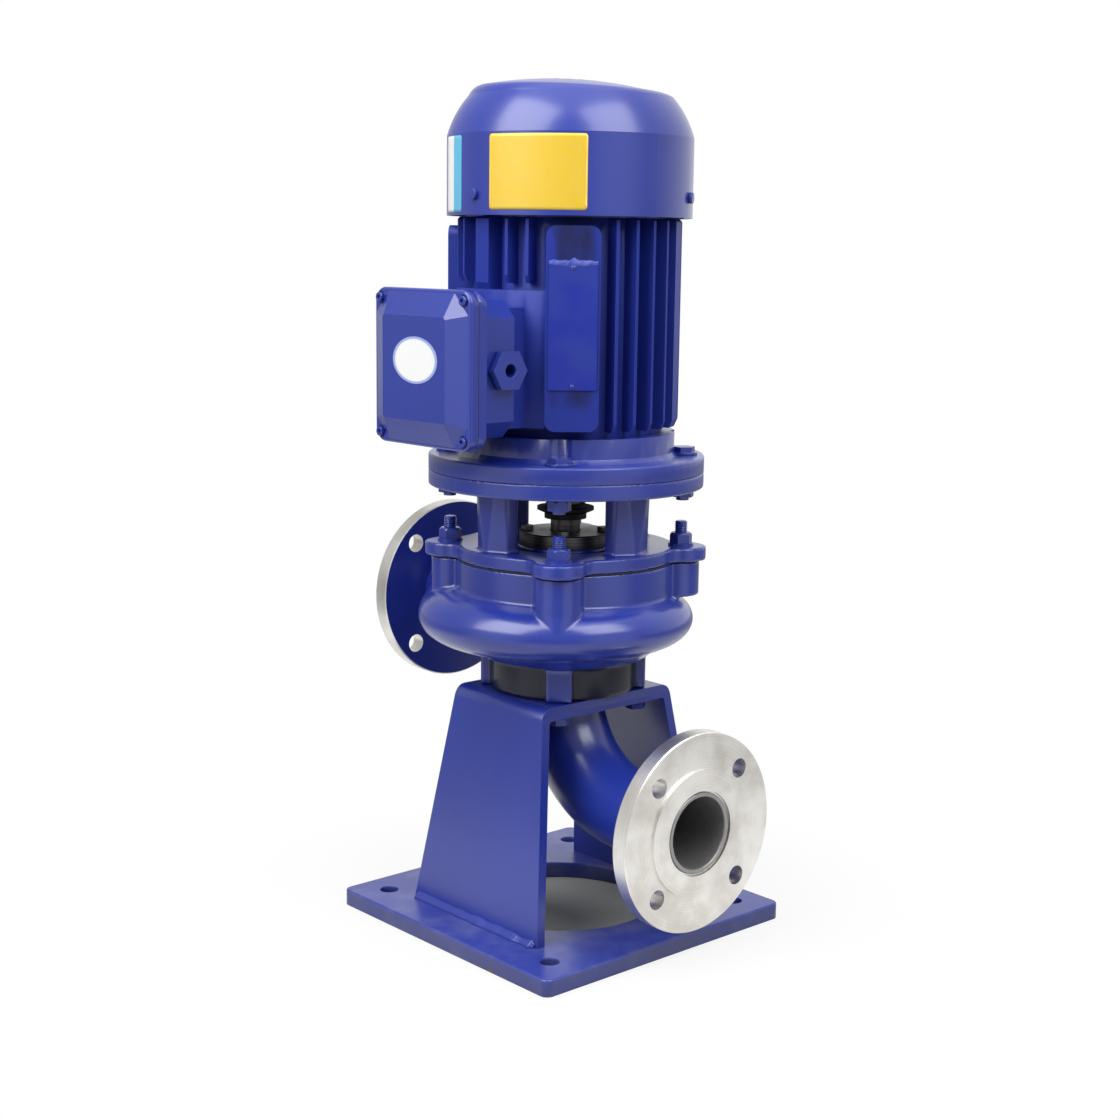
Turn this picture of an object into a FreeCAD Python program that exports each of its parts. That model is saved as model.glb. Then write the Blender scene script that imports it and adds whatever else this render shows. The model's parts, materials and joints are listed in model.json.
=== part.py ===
"""Vertical in-line sewage pump: flanged motor, lantern, spiral casing, suction elbow and stand.

Millimetres. Origin at the centre of the base plate's underside, +Z up along the shaft,
+X out of the suction flange, -X out of the discharge flange, -Y out of the terminal box.
"""
import FreeCAD, Part
import math
import os

V = FreeCAD.Vector
UP = V(0, 0, 1)
DOWN = V(0, 0, -1)
AXIS_X = V(1, 0, 0)
AXIS_Y = V(0, 1, 0)
CENTRE = V(0, 0, 0)

# Clearances shared by the fits
RUNNING_GAP = 0.35          # between a turning piece and a fixed one
BORE_GAP = 0.5              # bolt in its clearance hole, on the radius
SPIGOT_GAP = 0.1            # centring spigot in its recess, on the radius
FACE_GAP = 0.3              # between seal faces and along turning ends
BALL_GAP = 0.05             # ball in its groove, on the radius

# Base plate
BASE_SIDE = 305.0
BASE_THICKNESS = 16.0
BASE_CORNER_RADIUS = 8.0
BASE_EDGE_CHAMFER = 1.2
BASE_OPENING_DIAMETER = 190.0
ANCHOR_SPACING = 240.0
ANCHOR_HOLE_DIAMETER = 18.0

# Stand, a splayed inverted U of plate
STAND_TOP_HEIGHT = 230.0
STAND_TOP_PLATE = 13.0
STAND_LEG_PLATE = 9.5
STAND_TOP_LENGTH = 127.0
STAND_TOP_WIDTH = 163.0
STAND_FOOT_LENGTH = 182.0
STAND_FOOT_WIDTH = 220.0
STAND_BAND_HEIGHT = 8.0
STAND_BEND_RADIUS = 12.0
WELD_LEG = 6.5

# Pipe flanges, DN65 PN10
FLANGE_DIAMETER = 185.0
DISCHARGE_FLANGE_DIAMETER = 180.0
FLANGE_THICKNESS = 18.0
FLANGE_BOLT_CIRCLE = 145.0
FLANGE_BOLT_HOLE = 18.0
FLANGE_BOLT_COUNT = 4
RAISED_FACE_DIAMETER = 118.0
RAISED_FACE_HEIGHT = 2.0
PORT_BORE_DIAMETER = 67.0
PIPE_END_DIAMETER = 76.0
FLANGE_GROOVE_WIDTH = 1.6
FLANGE_GROOVE_DEPTH = 3.0
FLANGE_RIM_CHAMFER = 1.0

# Suction elbow
SUCTION_AXIS_HEIGHT = 127.0
SUCTION_FACE_REACH = 187.0
ELBOW_OUTER_DIAMETER = 78.0
ELBOW_BEND_RADIUS = 100.0
ELBOW_FLANGE_DIAMETER = 119.0
ELBOW_FLANGE_THICKNESS = 14.0
ELBOW_BOLT_CIRCLE = 104.0
ELBOW_BOLT_COUNT = 4

# Volute casing
VOLUTE_RISE = 69.5          # volute centre above the stand
VOLUTE_START_ANGLE = 195.0  # the spiral starts here and grows clockwise seen from above
VOLUTE_START_RADIUS = 108.5
VOLUTE_GROWTH = 35.0        # per full turn
SECTION_START_RADIUS = 31.0 # half width of the section
SECTION_GROWTH = 10.0       # per full turn
SECTION_FLATNESS = 0.69     # half height to half width
VOLUTE_WALL = 8.0
VOLUTE_SECTION_STEP = 17.0
VOLUTE_SPLIT_ANGLE = 100.0  # the spiral's two lengths meet here
DISCHARGE_LEAVE_ANGLE = -138.0
DISCHARGE_FACE_REACH = 184.0
OUTLET_STEP = 0.3           # the passage ends this much inside the port bore, on the radius
DISCHARGE_BEND_RADIUS = 60.0
CASING_BODY_DIAMETER = 208.0
CASING_TOP_RISE = 55.0      # casing joint face above the volute centre
CASING_OPENING_DIAMETER = 180.0
CASING_NECK_DROP = 54.5     # casing neck face below the volute centre
CASING_FLOOR_DROP = 29.5    # impeller chamber floor below the volute centre
CHAMBER_DIAMETER = 172.0
CHAMBER_CORNER_WIDTH = 10.0 # slope between the chamber floor and its side
CHAMBER_CORNER_RISE = 9.0
CASING_FLOOR_WALL = 8.0
CASING_DRUM_WALL = 6.0
STUD_CIRCLE = 220.0
STUD_COUNT = 4
STUD_FIRST_ANGLE = 45.0
CASING_BOSS_RADIUS = 22.0
CASING_BOSS_SETBACK = 4.0   # boss centre inside the stud circle
CASING_BOSS_DEPTH = 33.0
CASING_BOSS_TIP_DEPTH = 50.0
CASING_BOSS_TIP_RADIUS = 11.0
CASING_BOSS_TIP_REACH = 131.0
CASING_FOOT_INNER = 61.0
CASING_FOOT_OUTER = 79.0
CASING_FOOT_WIDTH = 24.0
CASING_SKIRT_OUTER = 140.0
CASING_SKIRT_INNER = 122.0
FOOT_BOLT_CIRCLE = 140.0
WEAR_RING_DIAMETER = 88.0
WEAR_RING_HEIGHT = 12.0

# Lantern bracket with the casing cover in one casting
GASKET_THICKNESS = 1.0
COVER_THICKNESS = 13.0
COVER_RIM_DIAMETER = 208.0
COVER_LUG_RADIUS = 24.0
COVER_LUG_FILLET = 14.0
COVER_SPIGOT_DEPTH = 19.5
COVER_WELL_OUTER = 126.0
COVER_WELL_DEPTH = 24.0
SEAL_CHAMBER_DIAMETER = 60.0
SEAL_BOSS_DIAMETER = 92.0
LANTERN_HEIGHT = 71.5       # cover top to motor joint
LANTERN_FLANGE_THICKNESS = 15.0
LANTERN_ARM_INNER = 77.0
LANTERN_ARM_OUTER = 98.5
LANTERN_ARM_WIDTH = 44.0
ARM_FOOT_BEVEL = 9.0        # the outer corners lie this much behind the outer face
ARM_TOP_BEVEL = 7.0
ARM_FLAT_TOP_WIDTH = 24.0
ARM_FLAT_FOOT_WIDTH = 4.0
LANTERN_BORE_DIAMETER = 132.0

# Motor flange joint
MOTOR_FLANGE_DIAMETER = 260.0
MOTOR_FLANGE_THICKNESS = 15.0
MOTOR_SPIGOT_DIAMETER = 180.0
MOTOR_SPIGOT_DEPTH = 4.0
MOTOR_BOLT_CIRCLE = 221.0
MOTOR_BOLT_COUNT = 4
BOLT_COLLAR_DIAMETER = 26.0
BOLT_COLLAR_THICKNESS = 2.4

# Shaft seal
GLAND_DIAMETER = 88.0
GLAND_THICKNESS = 12.0
GLAND_BOLT_CIRCLE = 72.0
GLAND_BOLT_COUNT = 4
SEAT_DIAMETER = 47.0
SEAT_LENGTH = 12.0
SEAT_RECESS = 5.5
SEAL_HEAD_DIAMETER = 48.0
SEAL_HEAD_LENGTH = 12.0
SEAL_SPRING_WIRE = 3.0
SEAL_SPRING_DIAMETER = 42.0
SEAL_SPRING_COILS = 5
SLINGER_RISE = 24.0         # slinger above the cover
SLINGER_HEIGHT = 14.0
SLINGER_WALL = 6.0
SLINGER_LIP = 13.0          # lip beyond the shaft
SLINGER_LIP_THICKNESS = 3.0

# Impeller, closed, three vanes
IMPELLER_DIAMETER = 164.0
IMPELLER_EYE_DIAMETER = 66.0
IMPELLER_SKIRT_WALL = 4.8
IMPELLER_SHROUD = 5.0
IMPELLER_OUTLET_WIDTH = 28.0
IMPELLER_HUB_DIAMETER = 44.0
IMPELLER_VANE_COUNT = 3
IMPELLER_VANE_THICKNESS = 6.0
IMPELLER_VANE_WRAP = 110.0
IMPELLER_KEY_WIDTH = 6.0

# Shaft diameters
SHAFT_THREAD_DIAMETER = 18.0
SHAFT_IMPELLER_DIAMETER = 25.0
SHAFT_SEAL_DIAMETER = 28.0
SHAFT_SHOULDER_DIAMETER = 37.0
SHAFT_ROTOR_DIAMETER = 42.0
SHAFT_FAN_DIAMETER = 24.0

# Ball bearings, 30 x 62 x 16
BEARING_BORE = 30.0
BEARING_OUTER = 62.0
BEARING_WIDTH = 16.0
BALL_DIAMETER = 9.4
BALL_COUNT = 9
BEARING_INNER_LAND = 39.0
BEARING_OUTER_LAND = 53.5
CAGE_THICKNESS = 2.0
CAGE_HEIGHT = 12.0

# Motor
SHIELD_DRUM_DIAMETER = 204.0
SHIELD_DRUM_HEIGHT = 22.0
BOLT_POCKET_DIAMETER = 27.0
FRAME_LENGTH = 195.0
FRAME_BORE_DIAMETER = 156.0
FRAME_ROOT_DIAMETER = 178.0
FIN_TIP_DIAMETER = 209.0
FIN_COUNT = 32
FIN_TIP_WIDTH = 3.2
FIN_ROOT_WIDTH = 5.6
FIN_END_SLOPE = 7.0
FIN_FIRST_ANGLE = 4.6
FIN_FOOT_GAP = 6.0          # fin end above the frame's lower face, and above the saddle
RIB_WIDTH = 18.0            # broad fins in line with the cowl screws
PAD_ANGLES = (-40.0, -140.0)
PAD_REACH = 109.5
PAD_WIDTH = 48.0
PAD_FOOT_GAP = 8.0
PAD_TOP_GAP = 7.5
PAD_CORNER = 9.0
SADDLE_HALF_ANGLE = 37.0    # smooth saddle behind the terminal box, either side of its middle
SADDLE_RISE = 10.0          # saddle above the frame's lower face
SADDLE_HEIGHT = 121.0
CABLE_HOLE_DIAMETER = 30.0
PLATE_WIDTH = 43.0
PLATE_LENGTH = 109.5
PLATE_RISE = 99.5           # plate centre above the frame's lower face
PLATE_THICKNESS = 1.2
STATOR_INNER_DIAMETER = 100.0
STATOR_BASE_GAP = 38.0      # stator core above the frame's lower face
STATOR_TOP_GAP = 47.0       # stator core below the frame's upper face
WINDING_OVERHANG = 24.0
WINDING_INNER_DIAMETER = 110.0
WINDING_OUTER_DIAMETER = 150.0
AIR_GAP = 0.4
TOP_SHIELD_DIAMETER = 192.0
TOP_SHIELD_THICKNESS = 8.0
BEARING_HOUSING_WALL = 8.0
TIE_BOLT_CIRCLE = 167.0
TIE_BOLT_COUNT = 4

# Fan and cowl
COWL_RISE = 1.0             # cowl edge above the frame
COWL_DIAMETER = 227.0
COWL_SHEET = 2.0
COWL_STRAIGHT = 71.5
COWL_SHOULDER_DIAMETER = 188.0
COWL_SHOULDER_RISE = 36.0
COWL_CROWN_DIAMETER = 162.0
COWL_CROWN_RISE = 6.5
COWL_DOME_RISE = 8.5
COWL_CROWN_TILT = 2.1       # the pressed crown leans a little
COWL_LOW_SIDE = 48.0        # angle of its low side
COWL_SCREW_ANGLES = (-90.0, 30.0, 150.0)
COWL_SCREW_RISE = 18.0
COWL_TAB_WIDTH = 18.0
COWL_TAB_THICKNESS = 6.0
COWL_TAB_HEIGHT = 20.0
GRILLE_RING_STEP = 11.0
GRILLE_RINGS = 4
GRILLE_HOLE_DIAMETER = 6.5
FAN_DIAMETER = 184.0
FAN_RISE = 24.0             # fan disc above the top shield
FAN_DISC = 3.0
FAN_BLADE_HEIGHT = 20.0
FAN_BLADE_COUNT = 8
FAN_BLADE_THICKNESS = 2.4
FAN_HUB_DIAMETER = 44.0

# Terminal box
BOX_CENTRE_RISE = 63.0      # box centre above the frame's lower face
BOX_WIDTH = 120.0
BOX_HEIGHT = 120.0
BOX_BACK_REACH = 117.0
BOX_FRONT_REACH = 162.0
BOX_RIM = 8.5
BOX_WALL = 5.0
BOX_CORNER_CUT = 15.0
BOX_GASKET = 1.5
BOX_NECK_WIDTH = 92.0
BOX_NECK_HEIGHT = 106.0
LID_WIDTH = 136.0
LID_HEIGHT = 138.0
LID_CORNER = 13.0
LID_RIM = 9.0
LID_CROWN = 9.0
LID_BEVEL = 20.5
LID_MARGIN = 3.0
LID_CORNER_CUT = 18.5
LID_TOP_CORNER_CUT = 2.0
LID_WALL = 3.0
LID_SCREW_INSET = 9.0
LID_SCREW_RECESS = 1.5
LID_SCREW_HEAD = 4.2
LID_SCREW_SOCKET = 2.5
LID_SCREW_BITE = 5.0         # of the screw in the box
TERMINAL_BOARD_WIDTH = 66.0
TERMINAL_BOARD_HEIGHT = 46.0
TERMINAL_BOARD_THICKNESS = 10.0
TERMINAL_SPACING_X = 22.0
TERMINAL_SPACING_Z = 24.0
GLAND_REACH = 9.0
GLAND_HEX = 33.0
GLAND_HEX_LENGTH = 7.0
GLAND_BODY_DIAMETER = 26.0
GLAND_BORE_DIAMETER = 12.0
GLAND_SETBACK = 34.0        # gland axis behind the front of the box body

# Bolts: thread diameter, width across flats, head height
M12 = (12.0, 19.0, 7.5)
M10 = (10.0, 17.0, 6.4)
M8 = (8.0, 13.0, 5.3)
M6 = (6.0, 10.0, 4.0)
M5 = (5.0, 8.0, 3.5)
NUT_HEIGHT_SHARE = 0.85     # of the thread diameter
WASHER_THICKNESS = 2.2
STUD_TIP = 11.0             # stud above its nut

# Heights that follow from the sizes above
volute_z = STAND_TOP_HEIGHT + VOLUTE_RISE
discharge_z = volute_z
neck_z = volute_z - CASING_NECK_DROP
floor_z = volute_z - CASING_FLOOR_DROP
casing_top_z = volute_z + CASING_TOP_RISE
cover_z = casing_top_z + GASKET_THICKNESS
cover_top_z = cover_z + COVER_THICKNESS
chamber_top_z = cover_z - COVER_SPIGOT_DEPTH
motor_joint_z = cover_top_z + LANTERN_HEIGHT
shield_top_z = motor_joint_z + MOTOR_FLANGE_THICKNESS
frame_z = shield_top_z + SHIELD_DRUM_HEIGHT
frame_top_z = frame_z + FRAME_LENGTH
stator_length = FRAME_LENGTH - STATOR_BASE_GAP - STATOR_TOP_GAP
saddle_top_z = frame_z + SADDLE_RISE + SADDLE_HEIGHT
top_shield_z = frame_top_z + TOP_SHIELD_THICKNESS
cowl_z = frame_top_z + COWL_RISE
box_z = frame_z + BOX_CENTRE_RISE
elbow_top_z = neck_z - GASKET_THICKNESS
elbow_flange_z = elbow_top_z - ELBOW_FLANGE_THICKNESS
lower_bearing_z = shield_top_z + 2.0
upper_bearing_z = frame_top_z - 13.0
impeller_passage_z = volute_z - IMPELLER_OUTLET_WIDTH / 2.0
impeller_back_z = impeller_passage_z + IMPELLER_OUTLET_WIDTH
impeller_top_z = chamber_top_z - 4.0
fan_z = top_shield_z + FAN_RISE


def polar(radius, angle, z=0.0):
    """Point at a radius and an angle in degrees about the shaft."""
    a = math.radians(angle)
    return V(radius * math.cos(a), radius * math.sin(a), z)


def cylinder(diameter, z0, z1, at=None):
    """Upright cylinder between two heights, centred at a point's x and y."""
    place = V(at.x, at.y, z0) if at else V(0, 0, z0)
    return Part.makeCylinder(diameter / 2.0, z1 - z0, place, UP)


def tube(outer, inner, z0, z1, at=None):
    """Upright ring between two diameters."""
    return cylinder(outer, z0, z1, at).cut(cylinder(inner, z0, z1, at))


def rod_x(diameter, x0, x1, y, z):
    """Cylinder along X."""
    return Part.makeCylinder(diameter / 2.0, x1 - x0, V(x0, y, z), AXIS_X)


def rod_y(diameter, y0, y1, x, z):
    """Cylinder along Y."""
    return Part.makeCylinder(diameter / 2.0, y1 - y0, V(x, y0, z), AXIS_Y)


def block(x0, x1, y0, y1, z0, z1):
    """Box between two corners."""
    return Part.makeBox(x1 - x0, y1 - y0, z1 - z0, V(x0, y0, z0))


def wire(points):
    """Closed wire through points."""
    return Part.makePolygon(list(points) + [points[0]])


def prism(points, direction):
    """Solid from a closed flat outline pushed along a vector."""
    return Part.Face(wire(points)).extrude(direction)


def turned(profile):
    """Solid of revolution about the shaft from (radius, height) corners."""
    outline = [V(r, 0, z) for r, z in profile]
    return Part.Face(wire(outline)).revolve(CENTRE, UP, 360)


def hexagon(flats, z0, z1, at, turn=0.0):
    """Upright hexagonal prism, its width given across the flats."""
    radius = flats / math.sqrt(3.0)
    corners = [V(at.x, at.y, z0) + polar(radius, turn + 60.0 * i) for i in range(6)]
    return prism(corners, V(0, 0, z1 - z0))


def rounded_rectangle(width, height, radius, y):
    """Closed wire in an XZ plane, centred on x = 0, z = box_z."""
    w = width / 2.0
    h = height / 2.0
    edges = []
    for sx, sz, first in ((1, 1, 0.0), (-1, 1, 90.0), (-1, -1, 180.0), (1, -1, 270.0)):
        centre = V(sx * (w - radius), y, box_z + sz * (h - radius))
        ends = []
        for angle in (first, first + 45.0, first + 90.0):
            a = math.radians(angle)
            ends.append(centre + V(radius * math.cos(a), 0, radius * math.sin(a)))
        edges.append(Part.Arc(ends[0], ends[1], ends[2]).toShape())
    closed = []
    for i, edge in enumerate(edges):
        after = edges[(i + 1) % 4]
        closed.append(edge)
        closed.append(Part.makeLine(edge.lastVertex().Point, after.firstVertex().Point))
    return Part.Wire(Part.__sortEdges__(closed))


def fused(shapes):
    """One solid from several, with seams between flush faces removed."""
    result = shapes[0]
    if len(shapes) > 1:
        result = result.fuse(shapes[1:])
    return result.removeSplitter()


def ring_points(circle, count, first=0.0):
    """Evenly spaced points on a bolt circle given by its diameter."""
    return [polar(circle / 2.0, first + 360.0 * i / count) for i in range(count)]


def export(name, solids):
    """Write one named sub-part, made of one or several solids."""
    bodies = []
    for shape in (solids if isinstance(solids, list) else [solids]):
        bodies.extend(shape.Solids)
    result = bodies[0] if len(bodies) == 1 else Part.makeCompound(bodies)
    result.exportStep("parts/%s.step" % name)


def hex_bolt(size, at, seat_z, length, pointing_up):
    """Hexagon bolt: the shank goes up or down from its seat and the head lies on the other side."""
    thread, flats, head = size
    if pointing_up:
        return fused([hexagon(flats, seat_z - head, seat_z, at), cylinder(thread, seat_z, seat_z + length, at)])
    return fused([hexagon(flats, seat_z, seat_z + head, at), cylinder(thread, seat_z - length, seat_z, at)])


def hex_nut(size, at, z0):
    """Nut threaded on a stud or bolt, standing on z0."""
    thread, flats, _ = size
    height = thread * NUT_HEIGHT_SHARE
    body = hexagon(flats, z0, z0 + height, at)
    rounding = turned([(0, z0), (flats * 0.60, z0), (flats * 0.60, z0 + height * 0.72),
                       (flats * 0.46, z0 + height), (0, z0 + height)])
    rounding.translate(V(at.x, at.y, 0))
    return body.common(rounding).cut(cylinder(thread, z0, z0 + height, at))


# Base and stand

def base_plate():
    """Square plate with a round opening and four anchor holes."""
    s = BASE_SIDE / 2.0
    plate = block(-s, s, -s, s, 0, BASE_THICKNESS)
    corners = [e for e in plate.Edges if abs(e.Vertexes[0].Z - e.Vertexes[1].Z) > 1.0]
    plate = plate.makeFillet(BASE_CORNER_RADIUS, corners)
    rim = [e for e in plate.Edges if e.BoundBox.ZMin > BASE_THICKNESS - 0.01]
    plate = plate.makeChamfer(BASE_EDGE_CHAMFER, rim)
    plate = plate.cut(cylinder(BASE_OPENING_DIAMETER, 0, BASE_THICKNESS))
    h = ANCHOR_SPACING / 2.0
    holes = [cylinder(ANCHOR_HOLE_DIAMETER, 0, BASE_THICKNESS, V(x, y, 0)) for x in (-h, h) for y in (-h, h)]
    return plate.cut(holes)


def stand_profile(top_inset, leg_inset, bend):
    """Solid of the stand's outline across Y, moved inwards at its top and at its legs."""
    top = STAND_TOP_HEIGHT - top_inset
    half_top = STAND_TOP_WIDTH / 2.0 - leg_inset
    half_foot = STAND_FOOT_WIDTH / 2.0 - leg_inset
    lean = (half_foot - half_top) / (STAND_TOP_HEIGHT - BASE_THICKNESS)
    half_under = half_foot - lean * (top - BASE_THICKNESS)
    outline = wire([V(0, -half_foot, BASE_THICKNESS), V(0, half_foot, BASE_THICKNESS),
                    V(0, half_under, top), V(0, -half_under, top)])
    length = STAND_FOOT_LENGTH + 20.0
    solid = Part.Face(outline).extrude(V(length, 0, 0))
    solid.translate(V(-length / 2.0, 0, 0))
    edges = [e for e in solid.Edges if e.BoundBox.ZMin > top - 0.01 and e.BoundBox.XLength > length / 2.0]
    return solid.makeFillet(bend, edges)


def stand_frame():
    """Plate bent over the top, its two legs splayed both ways, open along X."""
    outer = stand_profile(0.0, 0.0, STAND_BEND_RADIUS)
    shell = outer.cut(stand_profile(STAND_TOP_PLATE, STAND_LEG_PLATE, STAND_BEND_RADIUS / 4.0))
    top = STAND_TOP_LENGTH / 2.0
    foot = STAND_FOOT_LENGTH / 2.0
    band_z = STAND_TOP_HEIGHT - STAND_BAND_HEIGHT
    width = STAND_FOOT_WIDTH
    outline = [V(-foot, -width, BASE_THICKNESS), V(foot, -width, BASE_THICKNESS), V(top, -width, band_z),
               V(top, -width, STAND_TOP_HEIGHT), V(-top, -width, STAND_TOP_HEIGHT), V(-top, -width, band_z)]
    stand = shell.common(prism(outline, V(0, 2.0 * width, 0)))
    under = STAND_TOP_HEIGHT - STAND_TOP_PLATE
    opening = cylinder(ELBOW_FLANGE_DIAMETER + 2.0 * BORE_GAP, under, STAND_TOP_HEIGHT)
    holes = [cylinder(M10[0] + 2.0 * BORE_GAP, under, STAND_TOP_HEIGHT, p)
             for p in ring_points(FOOT_BOLT_CIRCLE, 4, 45.0)]
    return stand.cut([opening] + holes)


def stand_weld_beads():
    """Fillet weld along the outer foot of each leg."""
    half_top = STAND_TOP_WIDTH / 2.0
    half_foot = STAND_FOOT_WIDTH / 2.0
    lean = (half_foot - half_top) / (STAND_TOP_HEIGHT - BASE_THICKNESS)
    length = STAND_FOOT_LENGTH - WELD_LEG
    beads = []
    for side in (-1, 1):
        corner = V(-length / 2.0, side * half_foot, BASE_THICKNESS)
        outline = [corner, corner + V(0, side * WELD_LEG, 0), corner + V(0, -side * lean * WELD_LEG, WELD_LEG)]
        beads.append(prism(outline, V(length, 0, 0)))
    return beads


def foot_bolts():
    """Bolts from below the stand into the casing's feet."""
    seat = STAND_TOP_HEIGHT - STAND_TOP_PLATE - WASHER_THICKNESS
    length = WASHER_THICKNESS + STAND_TOP_PLATE + 18.0
    return [hex_bolt(M10, p, seat, length, True) for p in ring_points(FOOT_BOLT_CIRCLE, 4, 45.0)]


def foot_washers():
    """Plain washers under the foot bolts' heads."""
    top = STAND_TOP_HEIGHT - STAND_TOP_PLATE
    return [tube(M10[1] + 1.0, M10[0], top - WASHER_THICKNESS, top, p) for p in ring_points(FOOT_BOLT_CIRCLE, 4, 45.0)]


# Suction side

def elbow_run(radius):
    """Solid quarter bend with its straight ends, from the elbow's top face to the suction face."""
    bend = ELBOW_BEND_RADIUS
    bend_z = SUCTION_AXIS_HEIGHT + bend
    upright = Part.makeCylinder(radius, elbow_top_z - bend_z, V(0, 0, bend_z), UP)
    section = Part.Face(Part.Wire(Part.makeCircle(radius, V(0, 0, bend_z), UP)))
    curve = section.revolve(V(bend, 0, bend_z), AXIS_Y, -90)
    level = Part.makeCylinder(radius, SUCTION_FACE_REACH - bend, V(bend, 0, SUCTION_AXIS_HEIGHT), AXIS_X)
    return upright.fuse([curve, level])


def suction_elbow():
    """Cast elbow with a bolted top flange and a plain pipe end."""
    outer = ELBOW_OUTER_DIAMETER / 2.0
    flange = cylinder(ELBOW_FLANGE_DIAMETER, elbow_flange_z, elbow_top_z)
    body = elbow_run(outer).fuse([flange]).removeSplitter()
    back = SUCTION_FACE_REACH - FLANGE_THICKNESS
    sleeve = rod_x(2.5 * outer, back, SUCTION_FACE_REACH, 0, SUCTION_AXIS_HEIGHT)
    pipe_end = rod_x(PIPE_END_DIAMETER, back, SUCTION_FACE_REACH, 0, SUCTION_AXIS_HEIGHT)
    body = body.cut(sleeve.cut(pipe_end))
    body = body.cut(elbow_run(PORT_BORE_DIAMETER / 2.0))
    holes = [cylinder(M8[0] + 2.0 * BORE_GAP, elbow_flange_z, elbow_top_z, p)
             for p in ring_points(ELBOW_BOLT_CIRCLE, ELBOW_BOLT_COUNT)]
    return body.cut(holes)


def pipe_flange(diameter, face_x, axis_z):
    """Slip-on flange with its raised face away from the shaft, bored for the pipe end."""
    sign = math.copysign(1.0, face_x)
    back = face_x - sign * FLANGE_THICKNESS
    step = face_x - sign * RAISED_FACE_HEIGHT
    groove_x = face_x - sign * FLANGE_GROOVE_DEPTH
    rim = diameter / 2.0
    outline = [(back, PIPE_END_DIAMETER / 2.0), (back, rim - FLANGE_RIM_CHAMFER),
               (back + sign * FLANGE_RIM_CHAMFER, rim), (step - sign * FLANGE_RIM_CHAMFER, rim),
               (step, rim - FLANGE_RIM_CHAMFER), (step, RAISED_FACE_DIAMETER / 2.0),
               (face_x, RAISED_FACE_DIAMETER / 2.0),
               (face_x, PIPE_END_DIAMETER / 2.0 + FLANGE_GROOVE_WIDTH),
               (groove_x, PIPE_END_DIAMETER / 2.0 + FLANGE_GROOVE_WIDTH), (groove_x, PIPE_END_DIAMETER / 2.0)]
    face = Part.Face(wire([V(x, 0, axis_z + r) for x, r in outline]))
    disc = face.revolve(V(0, 0, axis_z), AXIS_X, 360)
    low = min(back, face_x)
    high = max(back, face_x)
    holes = []
    for i in range(FLANGE_BOLT_COUNT):
        a = math.radians(360.0 * (i + 0.5) / FLANGE_BOLT_COUNT)
        y = FLANGE_BOLT_CIRCLE / 2.0 * math.cos(a)
        z = axis_z + FLANGE_BOLT_CIRCLE / 2.0 * math.sin(a)
        holes.append(rod_x(FLANGE_BOLT_HOLE, low, high, y, z))
    return disc.cut(holes)


def elbow_gasket():
    """Flat ring between the elbow and the casing neck."""
    ring = tube(ELBOW_FLANGE_DIAMETER, PORT_BORE_DIAMETER, elbow_top_z, neck_z)
    return ring.cut([cylinder(M8[0], elbow_top_z, neck_z, p) for p in ring_points(ELBOW_BOLT_CIRCLE, ELBOW_BOLT_COUNT)])


def elbow_bolts():
    """Bolts from below the elbow flange into the casing neck."""
    length = ELBOW_FLANGE_THICKNESS + GASKET_THICKNESS + 9.0
    return [hex_bolt(M8, p, elbow_flange_z, length, True) for p in ring_points(ELBOW_BOLT_CIRCLE, ELBOW_BOLT_COUNT)]


# Casing

def spiral_share(angle):
    """Part of a full turn passed since the spiral's start, going clockwise."""
    return (VOLUTE_START_ANGLE - angle) / 360.0


def spiral_radius(angle):
    """Outer radius of the volute at an angle."""
    return VOLUTE_START_RADIUS + VOLUTE_GROWTH * spiral_share(angle)


def section_radius(angle):
    """Radius of the volute's round outer wall at an angle."""
    return SECTION_START_RADIUS + SECTION_GROWTH * spiral_share(angle)


def pipe_section(half_width, half_height, at, heading):
    """Upright oval across the flow, its seam always at the same place."""
    low = min(half_height, 0.999 * half_width)
    oval = Part.Ellipse(V(half_width, 0, 0), V(0, 0, low), CENTRE).toShape()
    oval.rotate(CENTRE, UP, heading + 90.0)
    oval.translate(at)
    return Part.Wire(oval)


def discharge_places():
    """Points and headings of the discharge run, from the volute to just behind its flange."""
    leave = DISCHARGE_LEAVE_ANGLE
    start = polar(spiral_radius(leave) - section_radius(leave), leave, volute_z)
    first = leave - 90.0 + 360.0
    turn = 180.0 - first
    heading = polar(1.0, first)
    drop = DISCHARGE_BEND_RADIUS * (1.0 - math.cos(math.radians(turn)))
    straight = (-start.y - drop) / heading.y
    places = [(start + heading * (straight * share), first) for share in (0.25, 0.5, 0.75)]
    pivot = start + heading * straight + polar(DISCHARGE_BEND_RADIUS, first + 90.0)
    for i in range(5):
        now = first + turn * i / 4.0
        places.append((pivot - polar(DISCHARGE_BEND_RADIUS, now + 90.0), now))
    end = -DISCHARGE_FACE_REACH + FLANGE_THICKNESS
    bend_end = places[-1][0]
    places.append((V(0.5 * (bend_end.x + end), 0, discharge_z), 180.0))
    places.append((V(end, 0, discharge_z), 180.0))
    return places


def spiral_sections(first, last, inset):
    """Ovals across the spiral between two angles, both included."""
    count = int(round((first - last) / VOLUTE_SECTION_STEP))
    sections = []
    for i in range(count + 1):
        angle = first - (first - last) * i / count
        at = polar(spiral_radius(angle) - section_radius(angle), angle, volute_z)
        half = section_radius(angle)
        sections.append(pipe_section(half - inset, SECTION_FLATNESS * half - inset, at, angle - 90.0))
    return sections


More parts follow.
